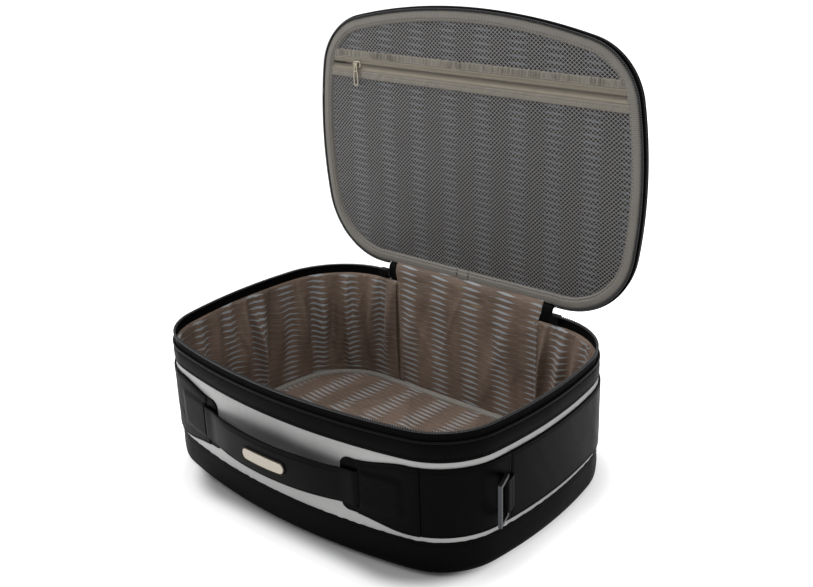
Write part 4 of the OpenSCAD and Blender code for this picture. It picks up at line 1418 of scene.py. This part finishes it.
    def binding(self) -> None:
        """Ribbed binding that covers the seam between the walls and the floor."""
        s = self.plan.ring(1.6)
        wave = Wobble(27, self.plan.length, 8, 40)(s)
        t = np.linspace(0, math.pi, 15)
        profile = np.stack([self.binding_half * (1 - power(np.cos(t), 0.6)),
                            self.binding_h * np.sin(t) ** 0.55], -1)
        across, tall = profile.T
        inset = self.binding_in + across[None] + 0.35 * wave[:, None]
        z = self.floor_z + 0.15 + tall[None] * (1 + 0.08 * wave[:, None])
        work = Work().grid(self.plan.at(s[:, None], inset, z), "binding",
                           lattice(s, travel(profile)))
        for row in (1.7, 5.4):
            path = self.plan.at(s, self.binding_in + row + 0.35 * wave,
                                self.floor_z + self.binding_h + 0.12)
            Stitches(3.2, 2.2, 0.5).row(work, path, UP)
        work.piece("floor_binding_tape", "case", "binding_taupe", "floor_binding")


# ---------------------------------------------------------------- zips and hinge

@dataclass
class ZipHalf:
    """One half of the main zip: woven tape and a row of coil teeth on its edge. The tape runs
    from height low, where it is sewn in, to height high, beside the teeth."""

    plan: Plan
    place: Place
    low: float
    high: float
    teeth_z: float
    body: str
    tape_node: str
    teeth_node: str
    inset: float = 1.2
    tape: float = 1.0
    pitch: float = 2.1
    tooth: tuple[float, float, float] = (2.3, 1.05, 1.7)
    core_r: float = 0.32
    core_apart: float = 0.72
    core_drop: float = 0.75

    def build(self) -> None:
        """Makes the tape with its woven ridge, and the teeth with the two cords through them."""
        s = self.plan.zip_run(620)
        end, up = s[-1], np.sign(self.high - self.low)
        wide = abs(self.high - self.low)
        d = grid_axis(wide, 1.1, 0.5)
        half = self.tape / 2 * roll(np.minimum(d, wide - d) + 0.01, 0.45) \
            + 0.22 * bell(d - (wide - 1.6), 0.5)
        z = self.low + up * d
        section = np.concatenate([z, z[::-1], z[:1]])
        lift = np.concatenate([half, -half[::-1], self.tape / 2 * roll(np.array([0.01]), 0.45)])
        wave = 0.12 * Wobble(31, 2 * end, 20, 60)(s)
        middle = self.inset + self.tape / 2
        points = self.plan.at(s[:, None], middle - lift[None] + wave[:, None], section[None])
        v = np.concatenate([d, 2 * wide - d[::-1], [2 * wide]])
        Work(self.place).grid(points, "zip_tape", lattice(s, v), flip=up < 0).piece(
            f"{self.tape_node}_woven", self.body, "zip_black", self.tape_node)
        run = np.arange(-end + 0.8, end - 0.4, self.pitch)
        inward, rise = -self.plan.facing(run), np.tile(UP, (len(run), 1))
        frames = np.stack([inward, np.cross(rise, inward), rise], -1)
        at = self.plan.at(run, middle, self.teeth_z)
        teeth = Work(self.place).copies(bead(*self.tooth, 8), at, frames, "teeth")
        for shift in (-self.core_apart, self.core_apart):
            core = self.plan.at(s, middle + shift, self.teeth_z - self.core_drop * up)
            teeth.tube(core, UP, self.core_r, 6, "teeth", flip=True)
        teeth.piece(f"{self.teeth_node}_coil", self.body, "zip_black", self.teeth_node, loose=True)


@dataclass
class Hinge:
    """Soft hinge at the back: a black outer cloth and a black inner tape."""

    half_x: float = 95.0

    def build(self) -> None:
        """Makes the two cloths, each running from the case to the lid."""
        outer = self.path([(127.1, 101.3), (127.1, 112.0), (127.1, 121.5)], (127.1, 127.1),
                          [(131.5, 127.1), (134.0, 127.1), (136.4, 127.1)])
        inner = self.path([(125.0, 113.6), (125.0, 118.0), (125.0, 122.8)], (125.3, 129.2),
                          [(128.8, 129.2), (131.0, 129.3), (133.6, 129.3)])
        self.cloth("hinge_cloth_outer", outer, 1.3, 51, (127.1, 122.0), (131.0, 127.1),
                   "hinge_strip", "hinge_fold", "lid_hinge_strip")
        self.cloth("hinge_cloth_inner", inner, 0.9, 52, (125.0, 122.0), (128.6, 129.2),
                   "hinge_rim")

    @staticmethod
    def path(before: list[tuple[float, float]], corner: tuple[float, float],
             after: list[tuple[float, float]], count: int = 44) -> Array:
        """Side view (y, z) of a cloth: two runs and a quadratic bend between them."""
        a, c, b = np.array(before[-1]), np.array(corner), np.array(after[0])
        t = np.linspace(0, 1, 12)[1:-1, None]
        rough = np.concatenate([before, (1 - t) ** 2 * a + 2 * t * (1 - t) * c + t ** 2 * b, after])
        run = travel(rough)
        return sample(np.linspace(0, run[-1], count), run, rough)

    def cloth(self, name: str, side: Array, thick: float, seed: int, start: tuple[float, float],
              end: tuple[float, float], *nodes: str) -> None:
        """One hinge cloth: its side view carried along X, with slight ripples and rolled ends.

        Args:
            name: the piece's name.
            side: its side view, (y, z) points.
            thick: its thickness.
            seed: seed of its ripples.
            start: (y, z) where it starts to turn with the lid; not used.
            end: (y, z) from where it turns fully with the lid; not used.
            nodes: CAD nodes that it replaces.
        """
        x = -self.half_x + grid_axis(2 * self.half_x, 1.5, 0.8)
        along = heading(side)
        out = np.stack([along[:, 1], -along[:, 0]], -1)
        wave = 0.22 * Wobble(seed, 2 * self.half_x, 5, 26)(x)
        run = travel(side)
        ends = np.minimum(run, run[-1] - run)
        half = thick / 2 * roll(self.half_x - np.abs(x), 0.7)[:, None] \
            * (0.25 + 0.75 * roll(ends, 0.7))[None]
        ripple = wave[:, None] * smooth(ends, 2, 8)[None]
        top, under = (side[None] + out[None] * (ripple + sign * half)[..., None]
                      for sign in (1, -1))
        yz = np.concatenate([top, under[:, ::-1], top[:, :1]], 1)
        points = np.concatenate([np.broadcast_to(x[:, None, None], (*yz.shape[:2], 1)), yz], -1)
        v = np.concatenate([run, run[-1] + run, [2 * run[-1]]])
        made = Work().grid(points, "hinge", lattice(x, v)).piece(name, None, "zip_black", *nodes)
        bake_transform(made)


# ---------------------------------------------------------------- lid

@dataclass
class Lid:
    """Padded lid: domed leatherette outside, satin lining and ribbed binding inside."""

    plan: Plan
    high: float = 9.5
    seam: float = 5.5
    skin: float = 1.2
    dome: float = 6.0
    edge_r: float = 2.6
    lining_h: float = 4.7
    lining_flat: tuple[float, float] = (341.4, 237.4)
    binding_in: float = 1.9
    binding_w: float = 10.6
    binding_h: float = 4.1
    binding_base: float = 5.2
    sewn_in: float = 2.3
    sewn_h: float = 1.75
    joint_x: float = -5.0

    def build(self) -> None:
        """Makes the cover, piping, lining and binding."""
        self.cover()
        piping(self.plan, Place.LID, self.seam - 1.0).piece(
            "lid_piping_cord", "lid", "piping_black", "lid_piping")
        self.lining()
        self.binding()

    def cover(self) -> None:
        """Cover: height high + skin + dome (1 - k^2) at a share k of the outline, a rolled
        edge, and the short wall down to the piping."""
        s = self.plan.ring(2.2)
        k = np.concatenate([np.linspace(0, 0.9, 40), np.linspace(0.915, 0.975, 7)])
        rim, xy = self.plan.disc(s, 0.0, k)
        broad = Wobble(61, 300.0, 1, 4)(xy[..., 0] + 0.7 * xy[..., 1])
        top = self.high + self.skin
        h = top + (self.dome * (1 - k ** 2) - 0.35 * bell((1 - k) * 150 - 7.5, 0.8))[None] \
            + 0.25 * smooth(1 - k, 0.02, 0.2)[None] * broad
        a, r = np.radians(np.linspace(80, 0, 9)), self.edge_r
        inset = np.concatenate([r - r * np.cos(a), [0, 0, 0, 0.15, 0.6, 1.2]])
        height = np.concatenate([top - 0.05 - r + r * np.sin(a),
                                 self.seam + np.array([1.6, 1.1, 0.7, 0.35, 0.1, 0.2])])
        wall = self.plan.at(s[:, None], inset[None], height[None])
        work = Work(Place.LID).grid(np.concatenate([stacked(xy, h), wall], 1), "leather")
        Stitches(3.4, 2.4, 0.5).row(work, stacked(rim * 0.95, top + 0.45), UP, "thread")
        made = work.piece("lid_cover", "lid", "leather_black", "lid_skin", "lid_wall", "lid_pad")

    def lining(self) -> None:
        """Lid lining, stretched over the board behind the pocket, with shallow wrinkles. It takes
        the darker copy of the lining finish, which is painted shade for the net's shadow on it.
        """
        k = np.linspace(0, 1, 60)
        rim, xy = self.plan.disc(self.plan.ring(3.0), self.binding_in + self.binding_w - 2.0, k)
        folds = Folds(67, (-170, 170), 16, (0.0, 0.55), (6, 16), 0.6, (-120, 120))
        lift = np.clip(folds(xy[..., 0], xy[..., 1]), 0, 0.6) * (1 - smooth(k, 0.9, 1))[None]
        # the darker copy of the lining is painted shade from the net over it
        made = Work(Place.LID).grid(stacked(xy, self.lining_h - lift), "lining_in_painted_shade",
                                    xy * [1.0, -1.0] + [2.0, 0.0], flip=True).piece(
            "lid_lining_cloth", "lid", "lining_fabric", "lid_lining")

    def binding(self) -> None:
        """Binding: a rolled ribbed tape, sewn along its inner edge, with a lapped joint."""
        plan, width = self.plan, self.binding_w
        joint = plan.s_back(self.joint_x)
        s = np.unique(np.concatenate([plan.ring(1.5), joint + np.linspace(-8, 8, 65)]))
        t = np.linspace(0, math.pi, 29)
        profile = np.stack([width / 2 * (1 - power(np.cos(t), 0.7)),
                            self.binding_h * np.sin(t) ** 0.6], -1)
        across, tall = profile.T
        wave = Wobble(71, plan.length, 9, 60)(s)[:, None]
        fine = Wobble(72, plan.length, 120, 330)(s)[:, None]
        near = np.abs((s - joint + plan.half) % plan.length - plan.half)
        lap = 0.7 * smooth(6.0 - near, 0, 0.6) - 1.2 * bell(near - 6.6, 0.8)
        sewn = width - self.sewn_in
        h = self.binding_base - tall[None] * (1 + 0.03 * wave) - lap[:, None] * np.sin(t)[None] \
            + (1.1 + 0.35 * fine) * bell(across - sewn, 0.55)[None]
        inset = self.binding_in + across[None] + 0.22 * wave * np.sin(t)[None] \
            + 0.30 * fine * smooth(across, 0.6 * width, width)[None]
        work = Work(Place.LID).grid(plan.at(s[:, None], inset, h), "binding",
                                    lattice(s, travel(profile)), flip=True)
        Stitches(3.3, 2.4, 0.55).row(work, plan.at(s, self.binding_in + sewn, self.sewn_h), DOWN)
        work.piece("lid_binding_tape", "lid", "binding_taupe", "lid_binding")


@dataclass
class Pocket:
    """Net pocket in the lid: two nets, ruched trims, zip tapes, coil, slider and pull. Heights
    are above the lid's opening; the pocket faces down, to the opening."""

    plan: Plan
    zip_y: float = -67.0
    coil_gap: float = 1.0
    coil_w: float = 1.2
    tape_w: float = 4.3
    trim_w: float = 7.0
    level: float = 3.2
    edge_in: float = 11.6
    slider_x: float = -128.0
    net_turn: float = math.radians(4.5)
    period: float = 340.0
    net_end: float = 118.0
    net_lap: float = 0.6
    gather: float = 1.15
    tape_under: float = 4.4
    tooth: tuple[float, float, float] = (2.0, 0.72, 1.0)
    pitch: float = 1.25
    open_by: float = 0.62
    pin_h: float = 0.05
    pull_top: float = -1.3
    pull_foot: float = 19.6

    @property
    def tape_edge(self) -> float:
        """Distance of the trims from the zip line."""
        return self.coil_gap / 2 + self.coil_w + self.tape_w

    @property
    def trim_edge(self) -> float:
        """Distance of the nets from the zip line."""
        return self.tape_edge + self.trim_w

    def half_at(self, y: float) -> float:
        """Half width of the lid's inside at y."""
        return float(self.plan.across(np.array([y]), self.edge_in)[0])

    def line(self, x: Array, y: Union[Array, float], h: float) -> Array:
        """Path at x, at y and at height h."""
        return np.stack([x, np.broadcast_to(y, x.shape), np.full_like(x, h)], -1)

    def field(self, y: Array, step: float) -> tuple[Array, Array]:
        """x and y of a grid that fills the lid's inside across at each y."""
        half = self.plan.across(y, self.edge_in)
        u = np.linspace(-1, 1, int(self.period / step) + 1)
        return half[:, None] * u[None], np.broadcast_to(y[:, None], (len(y), len(u)))

    def build(self) -> None:
        """Makes every piece of the pocket."""
        reach = self.trim_edge - self.net_lap
        self.net("pocket_net_upper", "mesh_upper", -self.net_end, self.zip_y - reach, 81)
        self.net("pocket_net_lower", "mesh_lower", self.zip_y + reach, self.net_end, 82)
        for make in (self.trim, self.tape):
            make(-1, "upper")
            make(1, "lower")
        self.coil()
        self.pull()
        self.frame_pull()

    def net(self, name: str, node: str, y0: float, y1: float, seed: int) -> None:
        """One net: slack between its edges, dented here and there towards the lining."""
        y = y0 + grid_axis(y1 - y0, 2.4, 4.0)
        x, yy = self.field(y, 2.4)
        dents = Folds(seed, (-165, 165), 12, (-0.9, 1.0), (8, 26), 0.8, (y0, y1))
        half = self.plan.across(y, self.edge_in)
        free = smooth(np.minimum(yy - y0, y1 - yy), 0, 16) \
            * smooth(half[:, None] - np.abs(x), 0, 14)
        h = self.level + np.clip(free * dents(x, yy), -1.2, 0.9)
        cosine, sine = math.cos(self.net_turn), math.sin(self.net_turn)
        uv = np.stack([x * cosine - yy * sine, x * sine + yy * cosine], -1)
        made = Work(Place.LID).grid(np.stack([x, yy, h], -1), "net", uv).piece(
            name, "lid", "pocket_mesh", node)

    def strip(self, near: float, far: float, side: int, step: float,
              edge: float) -> tuple[Array, Array, Array]:
        """x, y and d of a strip between two distances from the zip line."""
        d = (near + grid_axis(far - near, step, edge))[::side]
        x, y = self.field(self.zip_y + side * d, 1.0)
        return x, y, np.broadcast_to(d[:, None], x.shape)

    def trim(self, side: int, name: str) -> None:
        """Trim of the net's edge: the upper one is ruched into gathers, the lower one lies
        flatter. The upper one is sewn beside the tape, the lower one along its middle."""
        ruched = side < 0
        near, far = self.tape_edge, self.trim_edge
        middle = (near + far) / 2
        x, y, d = self.strip(near, far, side, 0.8, 1.0)
        edge = np.minimum(d - near, far - d)
        fine = Wobble(91 + side, self.period, 60, 130)(x)
        slow = Wobble(93 + side, self.period, 12, 40)(x + 0.8 * d)
        h = self.level - 0.35 - 0.75 * roll(edge, 1.2) \
            - ((self.gather if ruched else 0.2) * fine + 0.25 * slow) * smooth(edge, 0, 1.5)
        if not ruched:
            h = h + 0.35 * bell(d - middle, 0.45)
        y = y + side * smooth(d, far - 2.2, far) * (0.55 if ruched else 0.15) * Wobble(
            95 + side, self.period, 30, 80)(x)
        top = np.stack([x, y, h], -1)
        under = top[::-1] * [1, 1, 0] + [0, 0, self.level - 0.15]
        uv = np.stack([np.concatenate([x, x[::-1]]), np.concatenate([d, 2 * far - d[::-1]])], -1)
        work = Work(Place.LID).grid(np.concatenate([top, under]), "trim", uv)
        sewn = np.linspace(-0.985, 0.985, 340) * self.half_at(self.zip_y + side * middle)
        row = self.zip_y + side * (near + 1.0 if ruched else middle)
        Stitches(3.0, 2.0, 0.45).row(work, self.line(sewn, row, self.level - 1.25), DOWN)
        made = work.piece(f"pocket_trim_{name}", "lid", "binding_taupe", f"trim_{name}")
        wide = 2 * self.half_at(self.zip_y)

    def spread(self, x: Array) -> Array:
        """Extra distance of each coil from the zip line: the zip is open left of its slider."""
        return self.open_by * smooth(self.slider_x - 3.0 - x, 0, 14) * (1 - smooth(-x, 158, 168))

    def tape(self, side: int, name: str) -> None:
        """Zip tape: smooth woven band, turned over along its outer edge."""
        near, far = self.coil_gap / 2 + 0.1, self.tape_edge + self.tape_under
        x, y, d = self.strip(near, far, side, 0.7, 0.7)
        y = y + side * self.spread(x) * (1 - smooth(d, near + 1.2, self.tape_edge))
        wave = 0.10 * Wobble(97 + side, self.period, 14, 44)(x)
        h = self.level - 0.15 - 0.9 * bell(d - self.tape_edge + 0.9, 1.0) \
            + wave * smooth(d, near, near + 2) \
            + 0.25 * smooth(d, self.tape_edge - 0.2, self.tape_edge + 0.6)
        made = Work(Place.LID).grid(np.stack([x, y, h], -1), "pocket_tape",
                                    np.stack([x, d], -1)).piece(
            f"pocket_tape_{name}_woven", "lid", "binding_taupe", f"pocket_tape_{name}")
        wide = 2 * self.half_at(self.zip_y)

    def coil(self) -> None:
        """Coil teeth on both tape edges, meshed right of the slider and apart left of it."""
        half = self.half_at(self.zip_y) - 1.0
        work = Work(Place.LID)
        frame = np.array([[0, 1.0, 0], [1.0, 0, 0], DOWN])
        for side, shift in ((1, 0.0), (-1, 0.62)):
            x = np.arange(-half + shift, half, self.pitch)
            y = self.zip_y + side * (self.coil_gap / 2 + 0.32 + self.spread(x))
            work.copies(bead(*self.tooth, 8), self.line(x, y, self.level - 0.5),
                        np.tile(frame, (len(x), 1, 1)), "coil")
            cord = np.linspace(-half, half, 500)
            y = self.zip_y + side * (self.coil_gap / 2 + 1.0 + self.spread(cord))
            work.tube(self.line(cord, y, self.level - 0.42), UP, 0.42, 8, "coil", flip=True)
        work.piece("pocket_coil_teeth", "lid", "coil_taupe", "pocket_coil", loose=True)

    def pull(self) -> None:
        """Slider body with a domed face, its two arches and the pin between them."""
        a = np.linspace(0, 2 * math.pi, 49)
        k = np.array([0.98, 1.0, 1.0, 0.96, 0.86, 0.6, 0.0])[:, None]
        h = np.array([2.45, 2.35, 1.95, 1.72, 1.6, 1.52, 1.5])
        wedge = 1.0 + 0.18 * np.cos(a)
        flat = np.stack([self.slider_x + power(np.cos(a), 0.55) * 4.7 * k,
                         self.zip_y + power(np.sin(a), 0.55) * 3.2 * wedge * k], -1)
        work = Work(Place.LID).grid(stacked(flat, h[:, None]), "champagne")
        arch = np.linspace(0, math.pi, 15)
        for off in (-2.15, 2.15):
            path = np.stack([np.full(15, self.slider_x + off), self.zip_y - 2.0 * np.cos(arch),
                             1.75 - 2.3 * np.sin(arch)], -1)
            work.tube(path, np.array([1.0, 0, 0]), 0.5, 8, "champagne")
        self.bar(work, self.zip_y, 2.3, 0.55)
        work.piece("pocket_slider_body", "pocket_slider", "metal_champagne", "pocket_slider")

    def bar(self, work: Work, y: float, half: float, radius: float) -> None:
        """Adds a short wire across the zip line at y."""
        x = np.linspace(-half, half, 7) + self.slider_x
        work.tube(self.line(x, y, self.pin_h), UP, radius, 10, "champagne")

    def frame_pull(self) -> None:
        """Open frame: a rounded wire loop, wider at its foot, with two wires across its top."""
        top, foot = self.zip_y + self.pull_top, self.zip_y + self.pull_foot
        t = np.linspace(0, 2 * math.pi, 73)
        y = (top + foot) / 2 + power(np.cos(t), 0.75) * (foot - top) / 2
        wide = 1.45 + 1.15 * smooth((y - top) / (foot - top), 0.1, 0.95)
        x = self.slider_x + power(np.sin(t), 0.45) * wide
        ring = tube(self.line(x, y, self.pin_h), UP, 0.72, 10)
        ring[-1] = ring[0]
        work = Work(Place.LID).grid(ring, "champagne")
        self.bar(work, self.zip_y + 1.6, 1.5, 0.62)
        self.bar(work, self.zip_y + 6.2, 1.9, 0.62)
        work.piece("pocket_pull_frame", "pocket_pull", "metal_champagne", "pocket_pull")


# ---------------------------------------------------------------- CAD nodes and stage

class Nodes:
    """CAD nodes that stay as they are and only get a finish."""

    finishes = {
        "leather": ("base_panel",), "board": ("base_board", "wall_board", "lid_board"),
        "black_metal": ("slider_left", "slider_right", "pull_left", "pull_right"),
        "gunmetal": ("strap_ring_left", "strap_ring_right"),
    }

    @classmethod
    def dress(cls) -> None:
        """Assigns each finish to its nodes' material slots."""
        for finish, nodes in cls.finishes.items():
            for made in (frame["nodes"][node].data for node in nodes):
                made.materials.clear()
                made.materials.append(Finish.get(finish))
                made.polygons.foreach_set("use_smooth", np.zeros(len(made.polygons), bool))


@dataclass
class Camera:
    """Camera at the front right, slightly above, turned a little about its own axis."""

    azimuth: float = 41.1407
    elevation: float = 21.967
    turn: float = -2.0247
    distance: float = 818.98
    target: tuple[float, float, float] = (76.924, -47.127, 194.102)
    focal_px: float = 1082.59
    width_px: float = 813.0
    sensor: float = 36.0

    def build(self) -> None:
        """Places the camera: its back direction is (sin a cos e, -cos a cos e, sin e)."""
        a, e, r = (math.radians(v) for v in (self.azimuth, self.elevation, self.turn))
        back = Vector((math.sin(a) * math.cos(e), -math.cos(a) * math.cos(e), math.sin(e)))
        right = Vector((math.cos(a), math.sin(a), 0.0))
        up = back.cross(right)
        x = right * math.cos(r) + up * math.sin(r)
        y = up * math.cos(r) - right * math.sin(r)
        turned = Matrix((x, y, back)).transposed().to_4x4()
        turned.translation = (Vector(self.target) + back * self.distance) * MM
        lens = bpy.data.cameras.new("camera")
        lens.sensor_width = self.sensor
        lens.lens = self.focal_px * self.sensor / self.width_px
        lens.clip_start, lens.clip_end = 0.01, 50.0
        made = link("camera", lens)
        made.matrix_world = turned
        bpy.context.scene.camera = made


@dataclass
class Studio:
    """White floor and surround with a painted contact shadow round the case, and soft lamps."""

    size: float = 12.0
    # middle, half and corner: the rounded box that the floor's painted shadow spreads from, set off
    # the case's middle towards the front and right
    middle: tuple[float, float] = (0.017, -0.011)
    half: tuple[float, float] = (0.085, 0.061)
    corner: float = 0.060
    # where the floor's painted shadow starts, eases and ends, in metres from that box
    painted_shadow_fade: tuple[float, float, float] = (-0.009, 0.012, 0.060)
    ambient: float = 0.24
    aim: tuple[float, float, float] = (0, 0, 0.12)
    lamps: tuple = (("left_box", (-1.7, -1.2, 1.5), 27.0, 1.4),
                    ("top_box", (0.1, -0.1, 2.4), 32.0, 1.8),
                    ("right_box", (1.9, -1.0, 1.0), 6.5, 1.2))

    def build(self) -> None:
        """Makes the floor, the world and the lamps."""
        self.floor()
        self.world()
        for lamp in self.lamps:
            self.lamp(*lamp)

    def lamp(self, name: str, at: tuple[float, float, float], watts: float, size: float) -> None:
        """One square soft lamp that faces the case."""
        light = bpy.data.lights.new(name, "AREA")
        light.energy, light.size = watts, size
        made = link(name, light)
        made.location = at
        facing = Vector(self.aim) - Vector(at)
        made.rotation_euler = facing.to_track_quat("-Z", "Y").to_euler()

    def floor(self) -> None:
        """Floor: matt white; away from the case it glows white to the camera. Near the case the
        camera sees its colour darkened, a painted contact shadow over the real one. The distance
        from the case is that of a rounded box, |max(|p| - half, 0)| - corner."""
        mesh = bpy.data.meshes.new("floor")
        h = self.size / 2
        mesh.from_pydata([(-h, -h, 0), (h, -h, 0), (h, h, 0), (-h, h, 0)], [], [(0, 1, 2, 3)])
        made = link("floor", mesh)
        sh = Shader("floor_white")
        x, y, _ = sh.parts(sh.place())
        over = [abs(at - mid) - half for at, mid, half in zip((x, y), self.middle, self.half)]
        gaps = [gap * (gap > 0.0) for gap in over]
        away = (gaps[0] * gaps[0] + gaps[1] * gaps[1]) ** 0.5 - self.corner
        start, knee, end = self.painted_shadow_fade
        # no glow near the case, so the painted and the real shadow show there
        glow = away.ramp(start, knee) * 0.55 + away.ramp(knee, end) * 0.45
        white = {"Base Color": (0.88, 0.88, 0.88), "Roughness": 1.0, "Specular IOR Level": 0.0}
        plain = sh.node("BsdfPrincipled", None, white)
        shown = sh.node("BsdfPrincipled", None, {
            **white, "Emission Strength": 1.0,
            # painted shadow: the floor's colour seen by the camera darkens towards the case
            "Base Color": sh.blend(away.ramp(start, end), (0.36,) * 3, (0.88,) * 3),
            "Emission Color": sh.blend(glow, (0.0,) * 3, (1.0,) * 3)})
        sh.feed(sh.output.inputs["Surface"],
                sh.node("MixShader", None, {0: sh.seen(), 1: plain, 2: shown}))
        mesh.materials.append(sh.material)

    def world(self) -> None:
        """Surround: white to the camera, and an even soft light."""
        world = bpy.data.worlds.new("surround")
        world.use_nodes = True
        bpy.context.scene.world = world
        sh = Graph(world.node_tree)
        level = sh.seen() * (1.0 - self.ambient) + self.ambient
        sh.add("OutputWorld", None, {"Surface": sh.node("Background", None, {
            "Color": (1.0, 1.0, 1.0), "Strength": level})})


def main() -> None:
    """Builds the case, part by part."""
    logging.basicConfig(level=logging.INFO, format="%(name)s: %(message)s")
    bpy.context.scene.view_settings.view_transform = "Standard"
    plan = Plan()
    Nodes.dress()
    for part in (Body, Belt, RingTab, Handle, Inside):
        part(plan).build()
    ZipHalf(plan, Place.CASE, 112.4, 121.6, 122.25, "case", "rim_tape", "rim_teeth").build()
    ZipHalf(plan, Place.LID, 8.2, 1.4, 0.75, "lid", "lid_tape", "lid_teeth").build()
    Hinge().build()
    Lid(plan).build()
    Pocket(plan).build()
    Camera().build()
    Studio().build()


if __name__ == "__main__":
    main()
